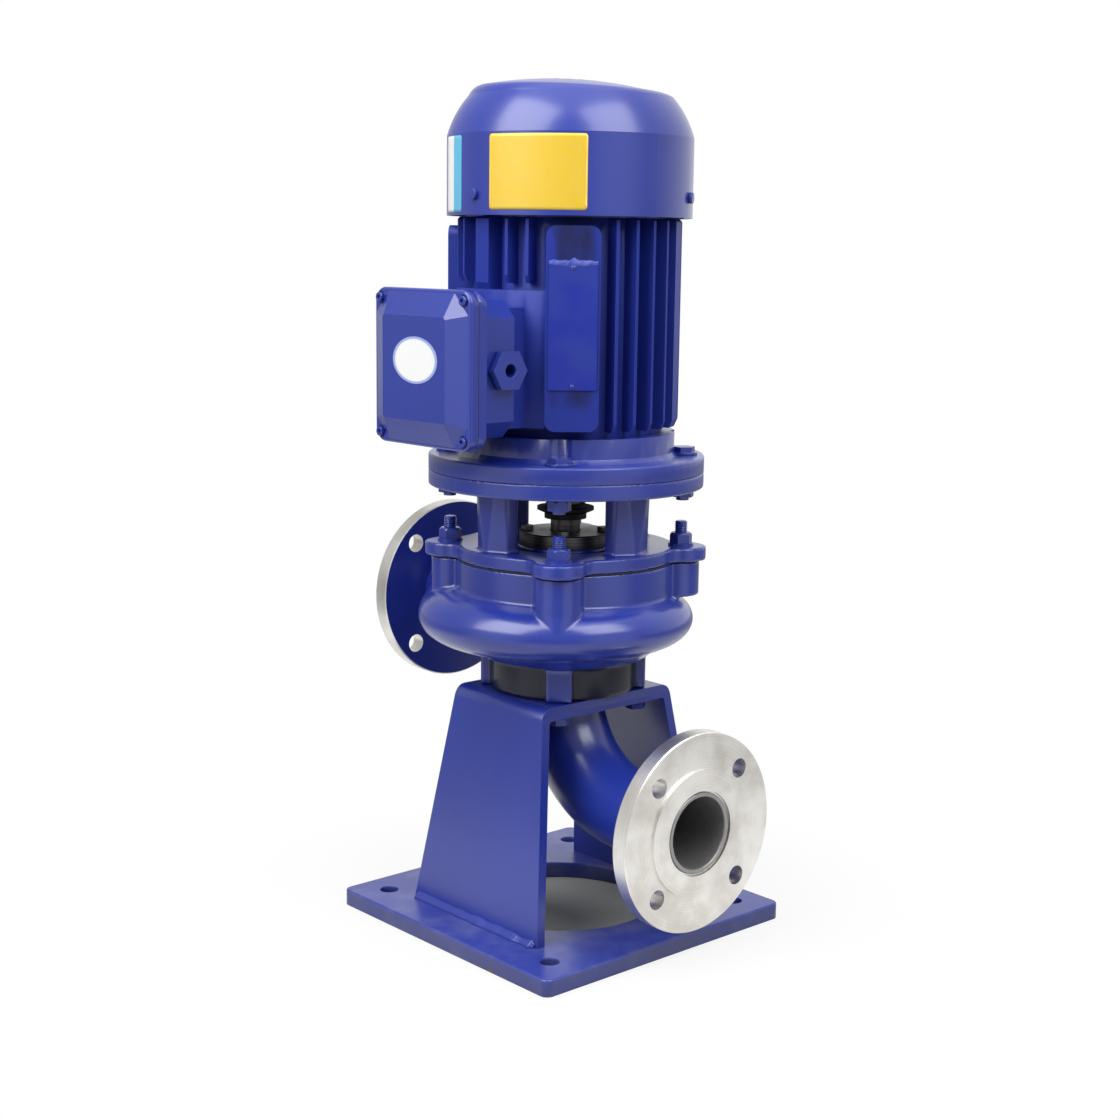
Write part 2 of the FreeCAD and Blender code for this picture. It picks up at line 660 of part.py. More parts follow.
def volute_run(inset):
    """The spiral in two lengths, the second of which runs on smoothly into the discharge neck."""
    start = Part.makeLoft(spiral_sections(VOLUTE_START_ANGLE, VOLUTE_SPLIT_ANGLE, inset), True, False)
    sections = spiral_sections(VOLUTE_SPLIT_ANGLE, DISCHARGE_LEAVE_ANGLE, inset)
    leaving = section_radius(DISCHARGE_LEAVE_ANGLE)
    end_radius = PORT_BORE_DIAMETER / 2.0 + VOLUTE_WALL - OUTLET_STEP
    for i, (at, heading) in enumerate(discharge_places()):
        share = min(1.0, (i + 1) / 4.0)
        half = leaving + (end_radius - leaving) * share
        flatness = SECTION_FLATNESS + (1.0 - SECTION_FLATNESS) * share
        sections.append(pipe_section(half - inset, flatness * half - inset, at, heading))
    return [start, Part.makeLoft(sections, True, False)]


def stud_boss(angle):
    """Round boss below a stud, which runs on as a tapered tip where the volute is wide below it."""
    at = polar(STUD_CIRCLE / 2.0 - CASING_BOSS_SETBACK, angle)
    low = casing_top_z - CASING_BOSS_DEPTH
    boss = cylinder(2.0 * CASING_BOSS_RADIUS, low, casing_top_z, at)
    turned_angle = angle if angle <= VOLUTE_START_ANGLE else angle - 360.0
    if spiral_radius(turned_angle) < CASING_BOSS_TIP_REACH:
        return [boss]
    tip = polar(CASING_BOSS_TIP_REACH - CASING_BOSS_TIP_RADIUS, angle, casing_top_z - CASING_BOSS_TIP_DEPTH)
    wide = Part.Wire(Part.makeCircle(CASING_BOSS_RADIUS, at + V(0, 0, low), UP))
    narrow = Part.Wire(Part.makeCircle(CASING_BOSS_TIP_RADIUS, tip, UP))
    return [boss, Part.makeLoft([wide, narrow], True, True)]


def volute_casing():
    """Spiral casing with its discharge neck, stud bosses, suction neck and four feet."""
    body = cylinder(CASING_BODY_DIAMETER, volute_z, casing_top_z)
    chamber = CHAMBER_DIAMETER / 2.0
    drum = chamber + CASING_DRUM_WALL
    under_z = floor_z - CASING_FLOOR_WALL
    floor = turned([(0, under_z), (drum - CHAMBER_CORNER_WIDTH - 2.0, under_z), (drum, under_z + CHAMBER_CORNER_RISE + 1.0),
                    (drum, volute_z), (0, volute_z)])
    skirt = tube(CASING_SKIRT_OUTER, CASING_SKIRT_INNER, STAND_TOP_HEIGHT, under_z + 1.0)
    neck = cylinder(ELBOW_FLANGE_DIAMETER, neck_z, volute_z)
    port = PORT_BORE_DIAMETER / 2.0
    back = -DISCHARGE_FACE_REACH + FLANGE_THICKNESS
    pipe_end = rod_x(PIPE_END_DIAMETER, -DISCHARGE_FACE_REACH, back + 1.0, 0, discharge_z)
    solids = volute_run(0.0) + [body, floor, skirt, neck, pipe_end]
    studs = [STUD_FIRST_ANGLE + 360.0 * i / STUD_COUNT for i in range(STUD_COUNT)]
    for angle in studs:
        solids += stud_boss(angle)
    half = CASING_FOOT_WIDTH / 2.0
    for angle in (45.0, 135.0, 225.0, 315.0):
        foot = block(CASING_FOOT_INNER, CASING_FOOT_OUTER, -half, half, STAND_TOP_HEIGHT, under_z + 4.0)
        foot.rotate(CENTRE, UP, angle)
        solids.append(foot)
    casing = solids[0].fuse(solids[1:])
    seat_z = floor_z - WEAR_RING_HEIGHT
    cavity = turned([(0, neck_z), (port, neck_z), (port, seat_z), (WEAR_RING_DIAMETER / 2.0, seat_z),
                     (WEAR_RING_DIAMETER / 2.0, floor_z), (chamber - CHAMBER_CORNER_WIDTH, floor_z),
                     (chamber, floor_z + CHAMBER_CORNER_RISE), (chamber, chamber_top_z),
                     (CASING_OPENING_DIAMETER / 2.0, chamber_top_z),
                     (CASING_OPENING_DIAMETER / 2.0, casing_top_z), (0, casing_top_z)])
    outlet = rod_x(2.0 * port, -DISCHARGE_FACE_REACH, back + 6.0, 0, discharge_z)
    casing = casing.cut([cavity, outlet] + volute_run(VOLUTE_WALL))
    holes = [cylinder(M12[0], casing_top_z - 24.0, casing_top_z, p)
             for p in ring_points(STUD_CIRCLE, STUD_COUNT, STUD_FIRST_ANGLE)]
    holes += [cylinder(M8[0], neck_z, neck_z + 11.0, p) for p in ring_points(ELBOW_BOLT_CIRCLE, ELBOW_BOLT_COUNT)]
    holes += [cylinder(M10[0], STAND_TOP_HEIGHT, STAND_TOP_HEIGHT + 20.0, p)
              for p in ring_points(FOOT_BOLT_CIRCLE, 4, 45.0)]
    return casing.cut(holes)


def casing_wear_ring():
    """Bronze ring round the impeller eye."""
    skirt = IMPELLER_EYE_DIAMETER + 2.0 * IMPELLER_SKIRT_WALL
    return tube(WEAR_RING_DIAMETER, skirt + 2.0 * RUNNING_GAP, floor_z - WEAR_RING_HEIGHT, floor_z)


def lobed_disc(rim, lobe, z0, z1, centre_radius, fillet):
    """Disc with a round lug at each stud and a fillet in each inner corner."""
    lobes = [cylinder(2.0 * lobe, z0, z1, polar(centre_radius, STUD_FIRST_ANGLE + 360.0 * i / STUD_COUNT))
             for i in range(STUD_COUNT)]
    disc = fused([cylinder(rim, z0, z1)] + lobes)
    height = z1 - z0
    corners = [e for e in disc.Edges if abs(e.BoundBox.ZLength - height) < 0.01 and e.BoundBox.XLength < 0.01]
    return disc.makeFillet(fillet, corners)


def casing_gasket():
    """Flat gasket with the casing rim's outline."""
    centre_radius = STUD_CIRCLE / 2.0 - CASING_BOSS_SETBACK
    disc = lobed_disc(CASING_BODY_DIAMETER, CASING_BOSS_RADIUS, casing_top_z, cover_z, centre_radius, 4.0)
    disc = disc.cut(cylinder(CASING_OPENING_DIAMETER, casing_top_z, cover_z))
    return disc.cut([cylinder(M12[0], casing_top_z, cover_z, p)
                     for p in ring_points(STUD_CIRCLE, STUD_COUNT, STUD_FIRST_ANGLE)])


def lantern_arm():
    """Arm on the +X side, its bevelled corners widening towards the foot."""
    w = LANTERN_ARM_WIDTH / 2.0
    outer = LANTERN_ARM_OUTER
    inner = LANTERN_ARM_INNER
    sections = []
    for z, flat, bevel in ((cover_top_z - 1.0, ARM_FLAT_FOOT_WIDTH, ARM_FOOT_BEVEL),
                           (motor_joint_z - LANTERN_FLANGE_THICKNESS + 1.0, ARM_FLAT_TOP_WIDTH, ARM_TOP_BEVEL)):
        f = flat / 2.0
        corner = outer - bevel
        sections.append(wire([V(inner, -w, z), V(corner, -w, z), V(outer, -f, z),
                              V(outer, f, z), V(corner, w, z), V(inner, w, z)]))
    return Part.makeLoft(sections, True, True)


def lantern_bracket():
    """Casing cover, four arms and the motor flange in one casting."""
    flange_z = motor_joint_z - LANTERN_FLANGE_THICKNESS
    cover = lobed_disc(COVER_RIM_DIAMETER, COVER_LUG_RADIUS, cover_z, cover_top_z, STUD_CIRCLE / 2.0, COVER_LUG_FILLET)
    spigot = cylinder(CASING_OPENING_DIAMETER - 2.0 * SPIGOT_GAP, chamber_top_z, cover_z)
    flange = cylinder(MOTOR_FLANGE_DIAMETER, flange_z, motor_joint_z)
    solids = [cover, spigot, flange]
    for i in range(4):
        arm = lantern_arm()
        arm.rotate(CENTRE, UP, 90.0 * i)
        solids.append(arm)
    bracket = solids[0].fuse(solids[1:])
    well = tube(COVER_WELL_OUTER, SEAL_BOSS_DIAMETER, cover_top_z - COVER_WELL_DEPTH, cover_top_z)
    cuts = [well, cylinder(SEAL_CHAMBER_DIAMETER, chamber_top_z, cover_top_z),
            cylinder(LANTERN_BORE_DIAMETER, flange_z, motor_joint_z),
            cylinder(MOTOR_SPIGOT_DIAMETER + 2.0 * SPIGOT_GAP, motor_joint_z - MOTOR_SPIGOT_DEPTH - 0.5, motor_joint_z)]
    cuts += [cylinder(M12[0] + 2.0 * BORE_GAP, cover_z, cover_top_z, p)
             for p in ring_points(STUD_CIRCLE, STUD_COUNT, STUD_FIRST_ANGLE)]
    cuts += [cylinder(M12[0] + 2.0 * BORE_GAP, flange_z, motor_joint_z, p)
             for p in ring_points(MOTOR_BOLT_CIRCLE, MOTOR_BOLT_COUNT, 45.0)]
    cuts += [cylinder(M6[0], cover_top_z - 12.0, cover_top_z, p)
             for p in ring_points(GLAND_BOLT_CIRCLE, GLAND_BOLT_COUNT, 45.0)]
    return bracket.cut(cuts)


def casing_studs():
    """Studs that clamp the cover on the casing."""
    top = cover_top_z + WASHER_THICKNESS + M12[0] * NUT_HEIGHT_SHARE + STUD_TIP
    return [cylinder(M12[0], casing_top_z - 22.0, top, p)
            for p in ring_points(STUD_CIRCLE, STUD_COUNT, STUD_FIRST_ANGLE)]


def casing_nuts():
    """Nuts on the casing studs."""
    return [hex_nut(M12, p, cover_top_z + WASHER_THICKNESS)
            for p in ring_points(STUD_CIRCLE, STUD_COUNT, STUD_FIRST_ANGLE)]


def casing_washers():
    """Washers under the casing nuts."""
    return [tube(M12[1] + 5.0, M12[0], cover_top_z, cover_top_z + WASHER_THICKNESS, p)
            for p in ring_points(STUD_CIRCLE, STUD_COUNT, STUD_FIRST_ANGLE)]


# Shaft seal

def seal_gland_plate():
    """Plate that holds the stationary seat over the seal chamber."""
    z0 = cover_top_z
    hole = SHAFT_SEAL_DIAMETER / 2.0 + 1.0
    plate = turned([(hole, z0 + SEAT_RECESS), (SEAT_DIAMETER / 2.0, z0 + SEAT_RECESS), (SEAT_DIAMETER / 2.0, z0),
                    (GLAND_DIAMETER / 2.0, z0), (GLAND_DIAMETER / 2.0, z0 + GLAND_THICKNESS - 1.0),
                    (GLAND_DIAMETER / 2.0 - 1.0, z0 + GLAND_THICKNESS), (hole, z0 + GLAND_THICKNESS)])
    return plate.cut([cylinder(M6[0] + 2.0 * BORE_GAP, z0, z0 + GLAND_THICKNESS, p)
                      for p in ring_points(GLAND_BOLT_CIRCLE, GLAND_BOLT_COUNT, 45.0)])


def seal_gland_bolts():
    """Bolts that hold the gland plate."""
    return [hex_bolt(M6, p, cover_top_z + GLAND_THICKNESS, GLAND_THICKNESS + 10.0, False)
            for p in ring_points(GLAND_BOLT_CIRCLE, GLAND_BOLT_COUNT, 45.0)]


def seal_stationary_seat():
    """Ceramic ring set in the gland plate."""
    top = cover_top_z + SEAT_RECESS
    return tube(SEAT_DIAMETER, SHAFT_SEAL_DIAMETER + 2.0, top - SEAT_LENGTH, top)


def seal_rotating_head():
    """Carbon face and its holder, turning with the shaft under the stationary seat."""
    top = cover_top_z + SEAT_RECESS - SEAT_LENGTH - FACE_GAP
    z0 = top - SEAL_HEAD_LENGTH
    inner = SHAFT_SEAL_DIAMETER / 2.0
    return turned([(inner, z0), (SEAL_HEAD_DIAMETER / 2.0, z0), (SEAL_HEAD_DIAMETER / 2.0, top - 3.0),
                   (SEAT_DIAMETER / 2.0 - 4.0, top - 3.0), (SEAT_DIAMETER / 2.0 - 4.0, top), (inner, top)])


def seal_spring():
    """Coils of the spring between the impeller hub and the seal head, each a plain ring."""
    low = impeller_top_z
    high = cover_top_z + SEAT_RECESS - SEAT_LENGTH - FACE_GAP - SEAL_HEAD_LENGTH
    wire_radius = SEAL_SPRING_WIRE / 2.0
    pitch = (high - low - SEAL_SPRING_WIRE) / (SEAL_SPRING_COILS - 1)
    radius = SEAL_SPRING_DIAMETER / 2.0 - wire_radius
    return [Part.makeTorus(radius, wire_radius, V(0, 0, low + wire_radius + pitch * i), UP)
            for i in range(SEAL_SPRING_COILS)]


# Impeller and shaft

def impeller():
    """Closed impeller with three curved vanes between two shrouds."""
    outer = IMPELLER_DIAMETER / 2.0
    eye = IMPELLER_EYE_DIAMETER / 2.0
    skirt = eye + IMPELLER_SKIRT_WALL
    hub = IMPELLER_HUB_DIAMETER / 2.0
    low = floor_z - WEAR_RING_HEIGHT + 1.0
    shroud_low = floor_z + 2.0
    inlet = impeller_passage_z - 5.0
    front = turned([(eye, low), (skirt, low), (skirt, shroud_low), (outer, impeller_passage_z - IMPELLER_SHROUD),
                    (outer, impeller_passage_z), (eye, inlet)])
    back = turned([(0, inlet + 5.0), (hub * 0.6, inlet + 5.0), (hub, impeller_back_z - 8.0), (outer, impeller_back_z),
                   (outer, impeller_back_z + IMPELLER_SHROUD), (hub, impeller_back_z + IMPELLER_SHROUD),
                   (hub, impeller_top_z), (0, impeller_top_z)])
    room = turned([(0, inlet - 3.0), (eye, inlet), (outer, impeller_passage_z), (outer, impeller_back_z + 1.0),
                   (0, impeller_back_z + 1.0)])
    vanes = [curved_vane(360.0 * i / IMPELLER_VANE_COUNT).common(room) for i in range(IMPELLER_VANE_COUNT)]
    wheel = front.fuse([back] + vanes)
    bore = cylinder(SHAFT_IMPELLER_DIAMETER, low, impeller_top_z)
    return wheel.cut([bore, key_slot(impeller_top_z - 4.0)])


def curved_vane(first):
    """Backward-curved vane wall, full height, between the eye and the rim."""
    inner = IMPELLER_HUB_DIAMETER / 2.0 - 2.0
    outer = IMPELLER_DIAMETER / 2.0
    half = IMPELLER_VANE_THICKNESS / 2.0
    z0 = floor_z
    middle = 0.5 * (inner + outer)

    def side(offset):
        return Part.Arc(polar(inner, first, z0) + polar(offset, first + 20.0),
                        polar(middle + offset, first + IMPELLER_VANE_WRAP * 0.42, z0),
                        polar(outer + offset, first + IMPELLER_VANE_WRAP, z0)).toShape()

    a = side(-half)
    b = side(half)
    ends = [Part.makeLine(a.firstVertex().Point, b.firstVertex().Point),
            Part.makeLine(a.lastVertex().Point, b.lastVertex().Point)]
    face = Part.Face(Part.Wire(Part.__sortEdges__([a, b] + ends)))
    return face.extrude(V(0, 0, impeller_back_z + 1.0 - z0))


def key_slot(top):
    """Space of the impeller's key, half in the shaft and half in the hub."""
    half = IMPELLER_KEY_WIDTH / 2.0
    r = SHAFT_IMPELLER_DIAMETER / 2.0
    return block(r - half, r + half, -half, half, impeller_passage_z + 4.0, top)


def impeller_key():
    """Parallel key that drives the impeller."""
    return key_slot(impeller_top_z - 4.0)


def impeller_nut():
    """Domed nut under the impeller eye."""
    top = impeller_passage_z
    height = SHAFT_THREAD_DIAMETER * NUT_HEIGHT_SHARE
    r = SHAFT_THREAD_DIAMETER
    skirt = hexagon(1.5 * SHAFT_THREAD_DIAMETER, top - height, top, CENTRE)
    dome = Part.makeSphere(0.75 * r, V(0, 0, top - height), DOWN, 0, 90, 360)
    nut = skirt.fuse(dome)
    return nut.cut(cylinder(SHAFT_THREAD_DIAMETER, top - height, top))


def motor_shaft():
    """One shaft for fan, rotor, seal and impeller."""
    steps = [(SHAFT_THREAD_DIAMETER, impeller_passage_z - SHAFT_THREAD_DIAMETER * NUT_HEIGHT_SHARE),
             (SHAFT_IMPELLER_DIAMETER, impeller_passage_z),
             (SHAFT_SEAL_DIAMETER, impeller_top_z),
             (BEARING_BORE, lower_bearing_z),
             (SHAFT_SHOULDER_DIAMETER, lower_bearing_z + BEARING_WIDTH),
             (SHAFT_ROTOR_DIAMETER, frame_z + STATOR_BASE_GAP - 6.0),
             (SHAFT_SHOULDER_DIAMETER, frame_z + STATOR_BASE_GAP + stator_length + 6.0),
             (BEARING_BORE, upper_bearing_z),
             (SHAFT_FAN_DIAMETER, upper_bearing_z + BEARING_WIDTH)]
    top = fan_z + FAN_DISC + FAN_BLADE_HEIGHT + 5.0
    profile = [(0, steps[0][1])]
    for i, (diameter, z0) in enumerate(steps):
        z1 = steps[i + 1][1] if i + 1 < len(steps) else top
        profile.append((diameter / 2.0, z0))
        profile.append((diameter / 2.0, z1))
    profile.append((0, top))
    shaft = turned(profile)
    groove_z = fan_z + FAN_DISC + FAN_BLADE_HEIGHT
    groove = tube(SHAFT_FAN_DIAMETER, SHAFT_FAN_DIAMETER - 1.6, groove_z, groove_z + 1.2)
    return shaft.cut([key_slot(impeller_top_z - 4.0), groove])


def water_slinger():
    """Rubber disc on the shaft that throws leakage off before the motor."""
    z0 = cover_top_z + SLINGER_RISE
    z1 = z0 + SLINGER_HEIGHT
    r = SHAFT_SEAL_DIAMETER / 2.0
    hub = r + SLINGER_WALL
    lip = r + SLINGER_LIP
    lip_z = z1 - SLINGER_LIP_THICKNESS
    under_z = lip_z - SLINGER_LIP_THICKNESS
    return turned([(r, z0), (hub, z0), (hub, under_z - SLINGER_LIP_THICKNESS), (lip, under_z), (lip, lip_z),
                   (hub, lip_z), (hub - 1.0, z1), (r, z1)])


# Bearings

def bearing_outer_ring(z0):
    """Outer ring with its ball groove."""
    ring = tube(BEARING_OUTER, BEARING_OUTER_LAND, z0, z0 + BEARING_WIDTH)
    return ring.cut(ball_groove(z0))


def bearing_inner_ring(z0):
    """Inner ring with its ball groove."""
    ring = tube(BEARING_INNER_LAND, BEARING_BORE, z0, z0 + BEARING_WIDTH)
    return ring.cut(ball_groove(z0))


def ball_groove(z0):
    """Torus that the balls run in."""
    pitch = (BEARING_BORE + BEARING_OUTER) / 4.0
    return Part.makeTorus(pitch, BALL_DIAMETER / 2.0 + BALL_GAP, V(0, 0, z0 + BEARING_WIDTH / 2.0), UP)


def bearing_balls(z0):
    """Balls on their pitch circle."""
    pitch = (BEARING_BORE + BEARING_OUTER) / 2.0
    middle = V(0, 0, z0 + BEARING_WIDTH / 2.0)
    return [Part.makeSphere(BALL_DIAMETER / 2.0, p + middle) for p in ring_points(pitch, BALL_COUNT)]


def bearing_cage(z0):
    """Cage ring with a round pocket for each ball."""
    pitch = (BEARING_BORE + BEARING_OUTER) / 2.0
    middle = z0 + BEARING_WIDTH / 2.0
    ring = tube(pitch + CAGE_THICKNESS, pitch - CAGE_THICKNESS, middle - CAGE_HEIGHT / 2.0, middle + CAGE_HEIGHT / 2.0)
    pockets = [radial_rod(BALL_DIAMETER + 2.0 * BALL_GAP, pitch / 2.0 - 4.0, pitch / 2.0 + 4.0,
                          360.0 * i / BALL_COUNT, middle) for i in range(BALL_COUNT)]
    return ring.cut(pockets)


def bearing_wave_spring():
    """Spring ring that preloads the upper bearing."""
    z0 = upper_bearing_z + BEARING_WIDTH
    return tube(BEARING_OUTER - 1.0, BEARING_OUTER_LAND + 1.0, z0, z0 + 1.2)


# Motor

def drive_end_shield():
    """Motor flange, drum and lower bearing housing in one casting."""
    flange = MOTOR_FLANGE_DIAMETER / 2.0
    spigot = MOTOR_SPIGOT_DIAMETER / 2.0
    drum = SHIELD_DRUM_DIAMETER / 2.0
    register = FRAME_BORE_DIAMETER / 2.0 - SPIGOT_GAP
    seat = BEARING_OUTER / 2.0
    housing = seat + BEARING_HOUSING_WALL
    hole = SHAFT_SEAL_DIAMETER / 2.0 + 2.0
    z0 = motor_joint_z - MOTOR_SPIGOT_DEPTH
    floor = shield_top_z - 3.0
    body = turned([(hole, z0), (spigot, z0), (spigot, motor_joint_z), (flange, motor_joint_z),
                   (flange, shield_top_z - 1.5), (flange - 1.5, shield_top_z), (drum + 4.0, shield_top_z),
                   (drum, shield_top_z + 4.0), (drum, frame_z), (register, frame_z), (register, frame_z + 5.0),
                   (register - 6.0, frame_z + 5.0), (register - 6.0, floor), (housing, floor),
                   (housing, lower_bearing_z + BEARING_WIDTH), (seat, lower_bearing_z + BEARING_WIDTH),
                   (seat, lower_bearing_z), (seat - 5.0, lower_bearing_z), (seat - 5.0, lower_bearing_z - 4.0),
                   (hole, lower_bearing_z - 4.0)])
    cuts = [cylinder(M12[0] + 2.0 * BORE_GAP, motor_joint_z, shield_top_z, p)
            for p in ring_points(MOTOR_BOLT_CIRCLE, MOTOR_BOLT_COUNT, 45.0)]
    cuts += [cylinder(BOLT_POCKET_DIAMETER, shield_top_z, frame_z, p)
             for p in ring_points(MOTOR_BOLT_CIRCLE, MOTOR_BOLT_COUNT, 45.0)]
    cuts += [cylinder(M6[0], frame_z - 14.0, frame_z, p) for p in ring_points(TIE_BOLT_CIRCLE, TIE_BOLT_COUNT, 90.0)]
    return body.cut(cuts)


def motor_flange_bolts():
    """Collared bolts down through the two flanges."""
    grip = MOTOR_FLANGE_THICKNESS + LANTERN_FLANGE_THICKNESS
    length = grip + M12[0] * NUT_HEIGHT_SHARE + 3.0
    bolts = []
    for p in ring_points(MOTOR_BOLT_CIRCLE, MOTOR_BOLT_COUNT, 45.0):
        collar = cylinder(BOLT_COLLAR_DIAMETER, shield_top_z, shield_top_z + BOLT_COLLAR_THICKNESS, p)
        bolts.append(fused([hex_bolt(M12, p, shield_top_z, length, False), collar]))
    return bolts


def motor_flange_nuts():
    """Nuts under the lantern flange."""
    z0 = motor_joint_z - LANTERN_FLANGE_THICKNESS - M12[0] * NUT_HEIGHT_SHARE
    return [hex_nut(M12, p, z0) for p in ring_points(MOTOR_BOLT_CIRCLE, MOTOR_BOLT_COUNT, 45.0)]


def cooling_fin(z0, root_width, tip_width):
    """Tapered fin on the +X side, from z0 to the frame's upper face, with sloped ends."""
    inner = FRAME_ROOT_DIAMETER / 2.0 - 2.0
    outer = FIN_TIP_DIAMETER / 2.0
    root = root_width / 2.0
    tip = tip_width / 2.0
    fin = prism([V(inner, -root, z0), V(outer, -tip, z0), V(outer, tip, z0), V(inner, root, z0)],
                V(0, 0, frame_top_z - z0))
    side = [V(inner, -root, z0), V(outer - 3.0, -root, z0), V(outer, -root, z0 + FIN_END_SLOPE),
            V(outer, -root, frame_top_z - 2.0), V(outer - 2.0, -root, frame_top_z), V(inner, -root, frame_top_z)]
    return fin.common(prism(side, V(0, 2.0 * root, 0)))


def turn_between(angle, other):
    """Smallest turn in degrees between two angles."""
    return abs((angle - other + 180.0) % 360.0 - 180.0)


def fin_is_covered(angle):
    """True where a pad or a broad rib takes the place of a fin."""
    pad = math.degrees(math.asin(PAD_WIDTH / 2.0 / PAD_REACH)) + 1.0
    rib = math.degrees(math.asin(RIB_WIDTH / FIN_TIP_DIAMETER)) + 2.0
    return (any(turn_between(angle, a) < pad for a in PAD_ANGLES)
            or any(turn_between(angle, a) < rib for a in COWL_SCREW_ANGLES))


def fin_foot(angle):
    """Height at which a fin starts: above the saddle or above the frame's lower face."""
    return (saddle_top_z if turn_between(angle, -90.0) < SADDLE_HALF_ANGLE else frame_z) + FIN_FOOT_GAP


def frame_pad(angle):
    """Flat-faced pad on the frame with round corners."""
    half = PAD_WIDTH / 2.0
    pad = block(FRAME_ROOT_DIAMETER / 2.0 - 6.0, PAD_REACH, -half, half,
                frame_z + PAD_FOOT_GAP, frame_top_z - PAD_TOP_GAP)
    pad = pad.makeFillet(PAD_CORNER, [e for e in pad.Edges if e.BoundBox.XLength > 1.0])
    pad.rotate(CENTRE, UP, angle)
    return pad


def frame_saddle():
    """Smooth sector of the frame that carries the terminal box."""
    z0 = frame_z + SADDLE_RISE
    reach = FIN_TIP_DIAMETER
    sector = prism([V(0, 0, z0), polar(reach, -90.0 - SADDLE_HALF_ANGLE, z0), polar(reach, -90.0 + SADDLE_HALF_ANGLE, z0)],
                   V(0, 0, SADDLE_HEIGHT))
    return sector.common(tube(FIN_TIP_DIAMETER, FRAME_ROOT_DIAMETER - 4.0, z0, saddle_top_z))


def motor_frame():
    """Finned barrel with two flat pads, and a saddle and neck for the terminal box."""
    solids = [cylinder(FRAME_ROOT_DIAMETER, frame_z, frame_top_z), frame_saddle()]
    for i in range(FIN_COUNT):
        angle = FIN_FIRST_ANGLE + 360.0 * i / FIN_COUNT
        if fin_is_covered(angle):
            continue
        fin = cooling_fin(fin_foot(angle), FIN_ROOT_WIDTH, FIN_TIP_WIDTH)
        fin.rotate(CENTRE, UP, angle)
        solids.append(fin)
    for angle in COWL_SCREW_ANGLES:
        low = saddle_top_z - 1.0 if turn_between(angle, -90.0) < SADDLE_HALF_ANGLE else frame_z + FIN_FOOT_GAP
        rib = cooling_fin(low, RIB_WIDTH, RIB_WIDTH)
        rib.rotate(CENTRE, UP, angle)
        solids.append(rib)
    solids += [frame_pad(a) for a in PAD_ANGLES]
    w = BOX_NECK_WIDTH / 2.0
    h = BOX_NECK_HEIGHT / 2.0
    solids.append(block(-w, w, -BOX_BACK_REACH, -FRAME_BORE_DIAMETER / 2.0 + 10.0, box_z - h, box_z + h))
    frame = solids[0].fuse(solids[1:])
    cuts = [cylinder(FRAME_BORE_DIAMETER, frame_z, frame_top_z),
            rod_y(CABLE_HOLE_DIAMETER, -BOX_BACK_REACH, 0.0, 0.0, box_z)]
    cuts += [cylinder(M6[0] + 2.0 * BORE_GAP, frame_z, frame_top_z, p)
             for p in ring_points(TIE_BOLT_CIRCLE, TIE_BOLT_COUNT, 90.0)]
    return frame.cut(cuts)


def rating_plate_blank():
    """Bare plate on the first pad."""
    half = PLATE_WIDTH / 2.0
    middle = frame_z + PLATE_RISE
    plate = block(PAD_REACH, PAD_REACH + PLATE_THICKNESS, -half, half,
                  middle - PLATE_LENGTH / 2.0, middle + PLATE_LENGTH / 2.0)
    plate.rotate(CENTRE, UP, PAD_ANGLES[0])
    return plate


def stator_core():
    """Lamination stack with winding slots open to the air gap."""
    z0 = frame_z + STATOR_BASE_GAP
    core = tube(FRAME_BORE_DIAMETER, STATOR_INNER_DIAMETER, z0, z0 + stator_length)
    slots = []
    for i in range(24):
        slot = block(STATOR_INNER_DIAMETER / 2.0 - 2.0, STATOR_INNER_DIAMETER / 2.0 + 14.0, -2.5, 2.5,
                     z0, z0 + stator_length)
        slot.rotate(CENTRE, UP, 15.0 * i)
        slots.append(slot)
    return core.cut(slots)


def stator_windings():
    """Copper end windings above and below the core."""
    z0 = frame_z + STATOR_BASE_GAP
    z1 = z0 + stator_length
    r0 = WINDING_INNER_DIAMETER / 2.0
    r1 = WINDING_OUTER_DIAMETER / 2.0
    c = 5.0
    rings = []
    for base, direction in ((z0, -1.0), (z1, 1.0)):
        tip = base + direction * WINDING_OVERHANG
        shoulder = tip - direction * c
        rings.append(turned([(r0, base), (r1, base), (r1, shoulder), (r1 - c, tip), (r0 + c, tip), (r0, shoulder)]))
    return rings


def rotor_core():
    """Rotor stack with its short-circuit rings."""
    z0 = frame_z + STATOR_BASE_GAP
    r = STATOR_INNER_DIAMETER / 2.0 - AIR_GAP
    inner = SHAFT_ROTOR_DIAMETER / 2.0
    ring = 8.0
    return turned([(inner, z0 - 2.0), (inner + 4.0, z0 - 2.0), (r - 16.0, z0), (r - 16.0, z0 - ring), (r - 2.0, z0 - ring),
                   (r - 2.0, z0), (r, z0), (r, z0 + stator_length), (r - 2.0, z0 + stator_length),
                   (r - 2.0, z0 + stator_length + ring), (r - 16.0, z0 + stator_length + ring),
                   (r - 16.0, z0 + stator_length), (inner + 4.0, z0 + stator_length + 2.0),
                   (inner, z0 + stator_length + 2.0)])


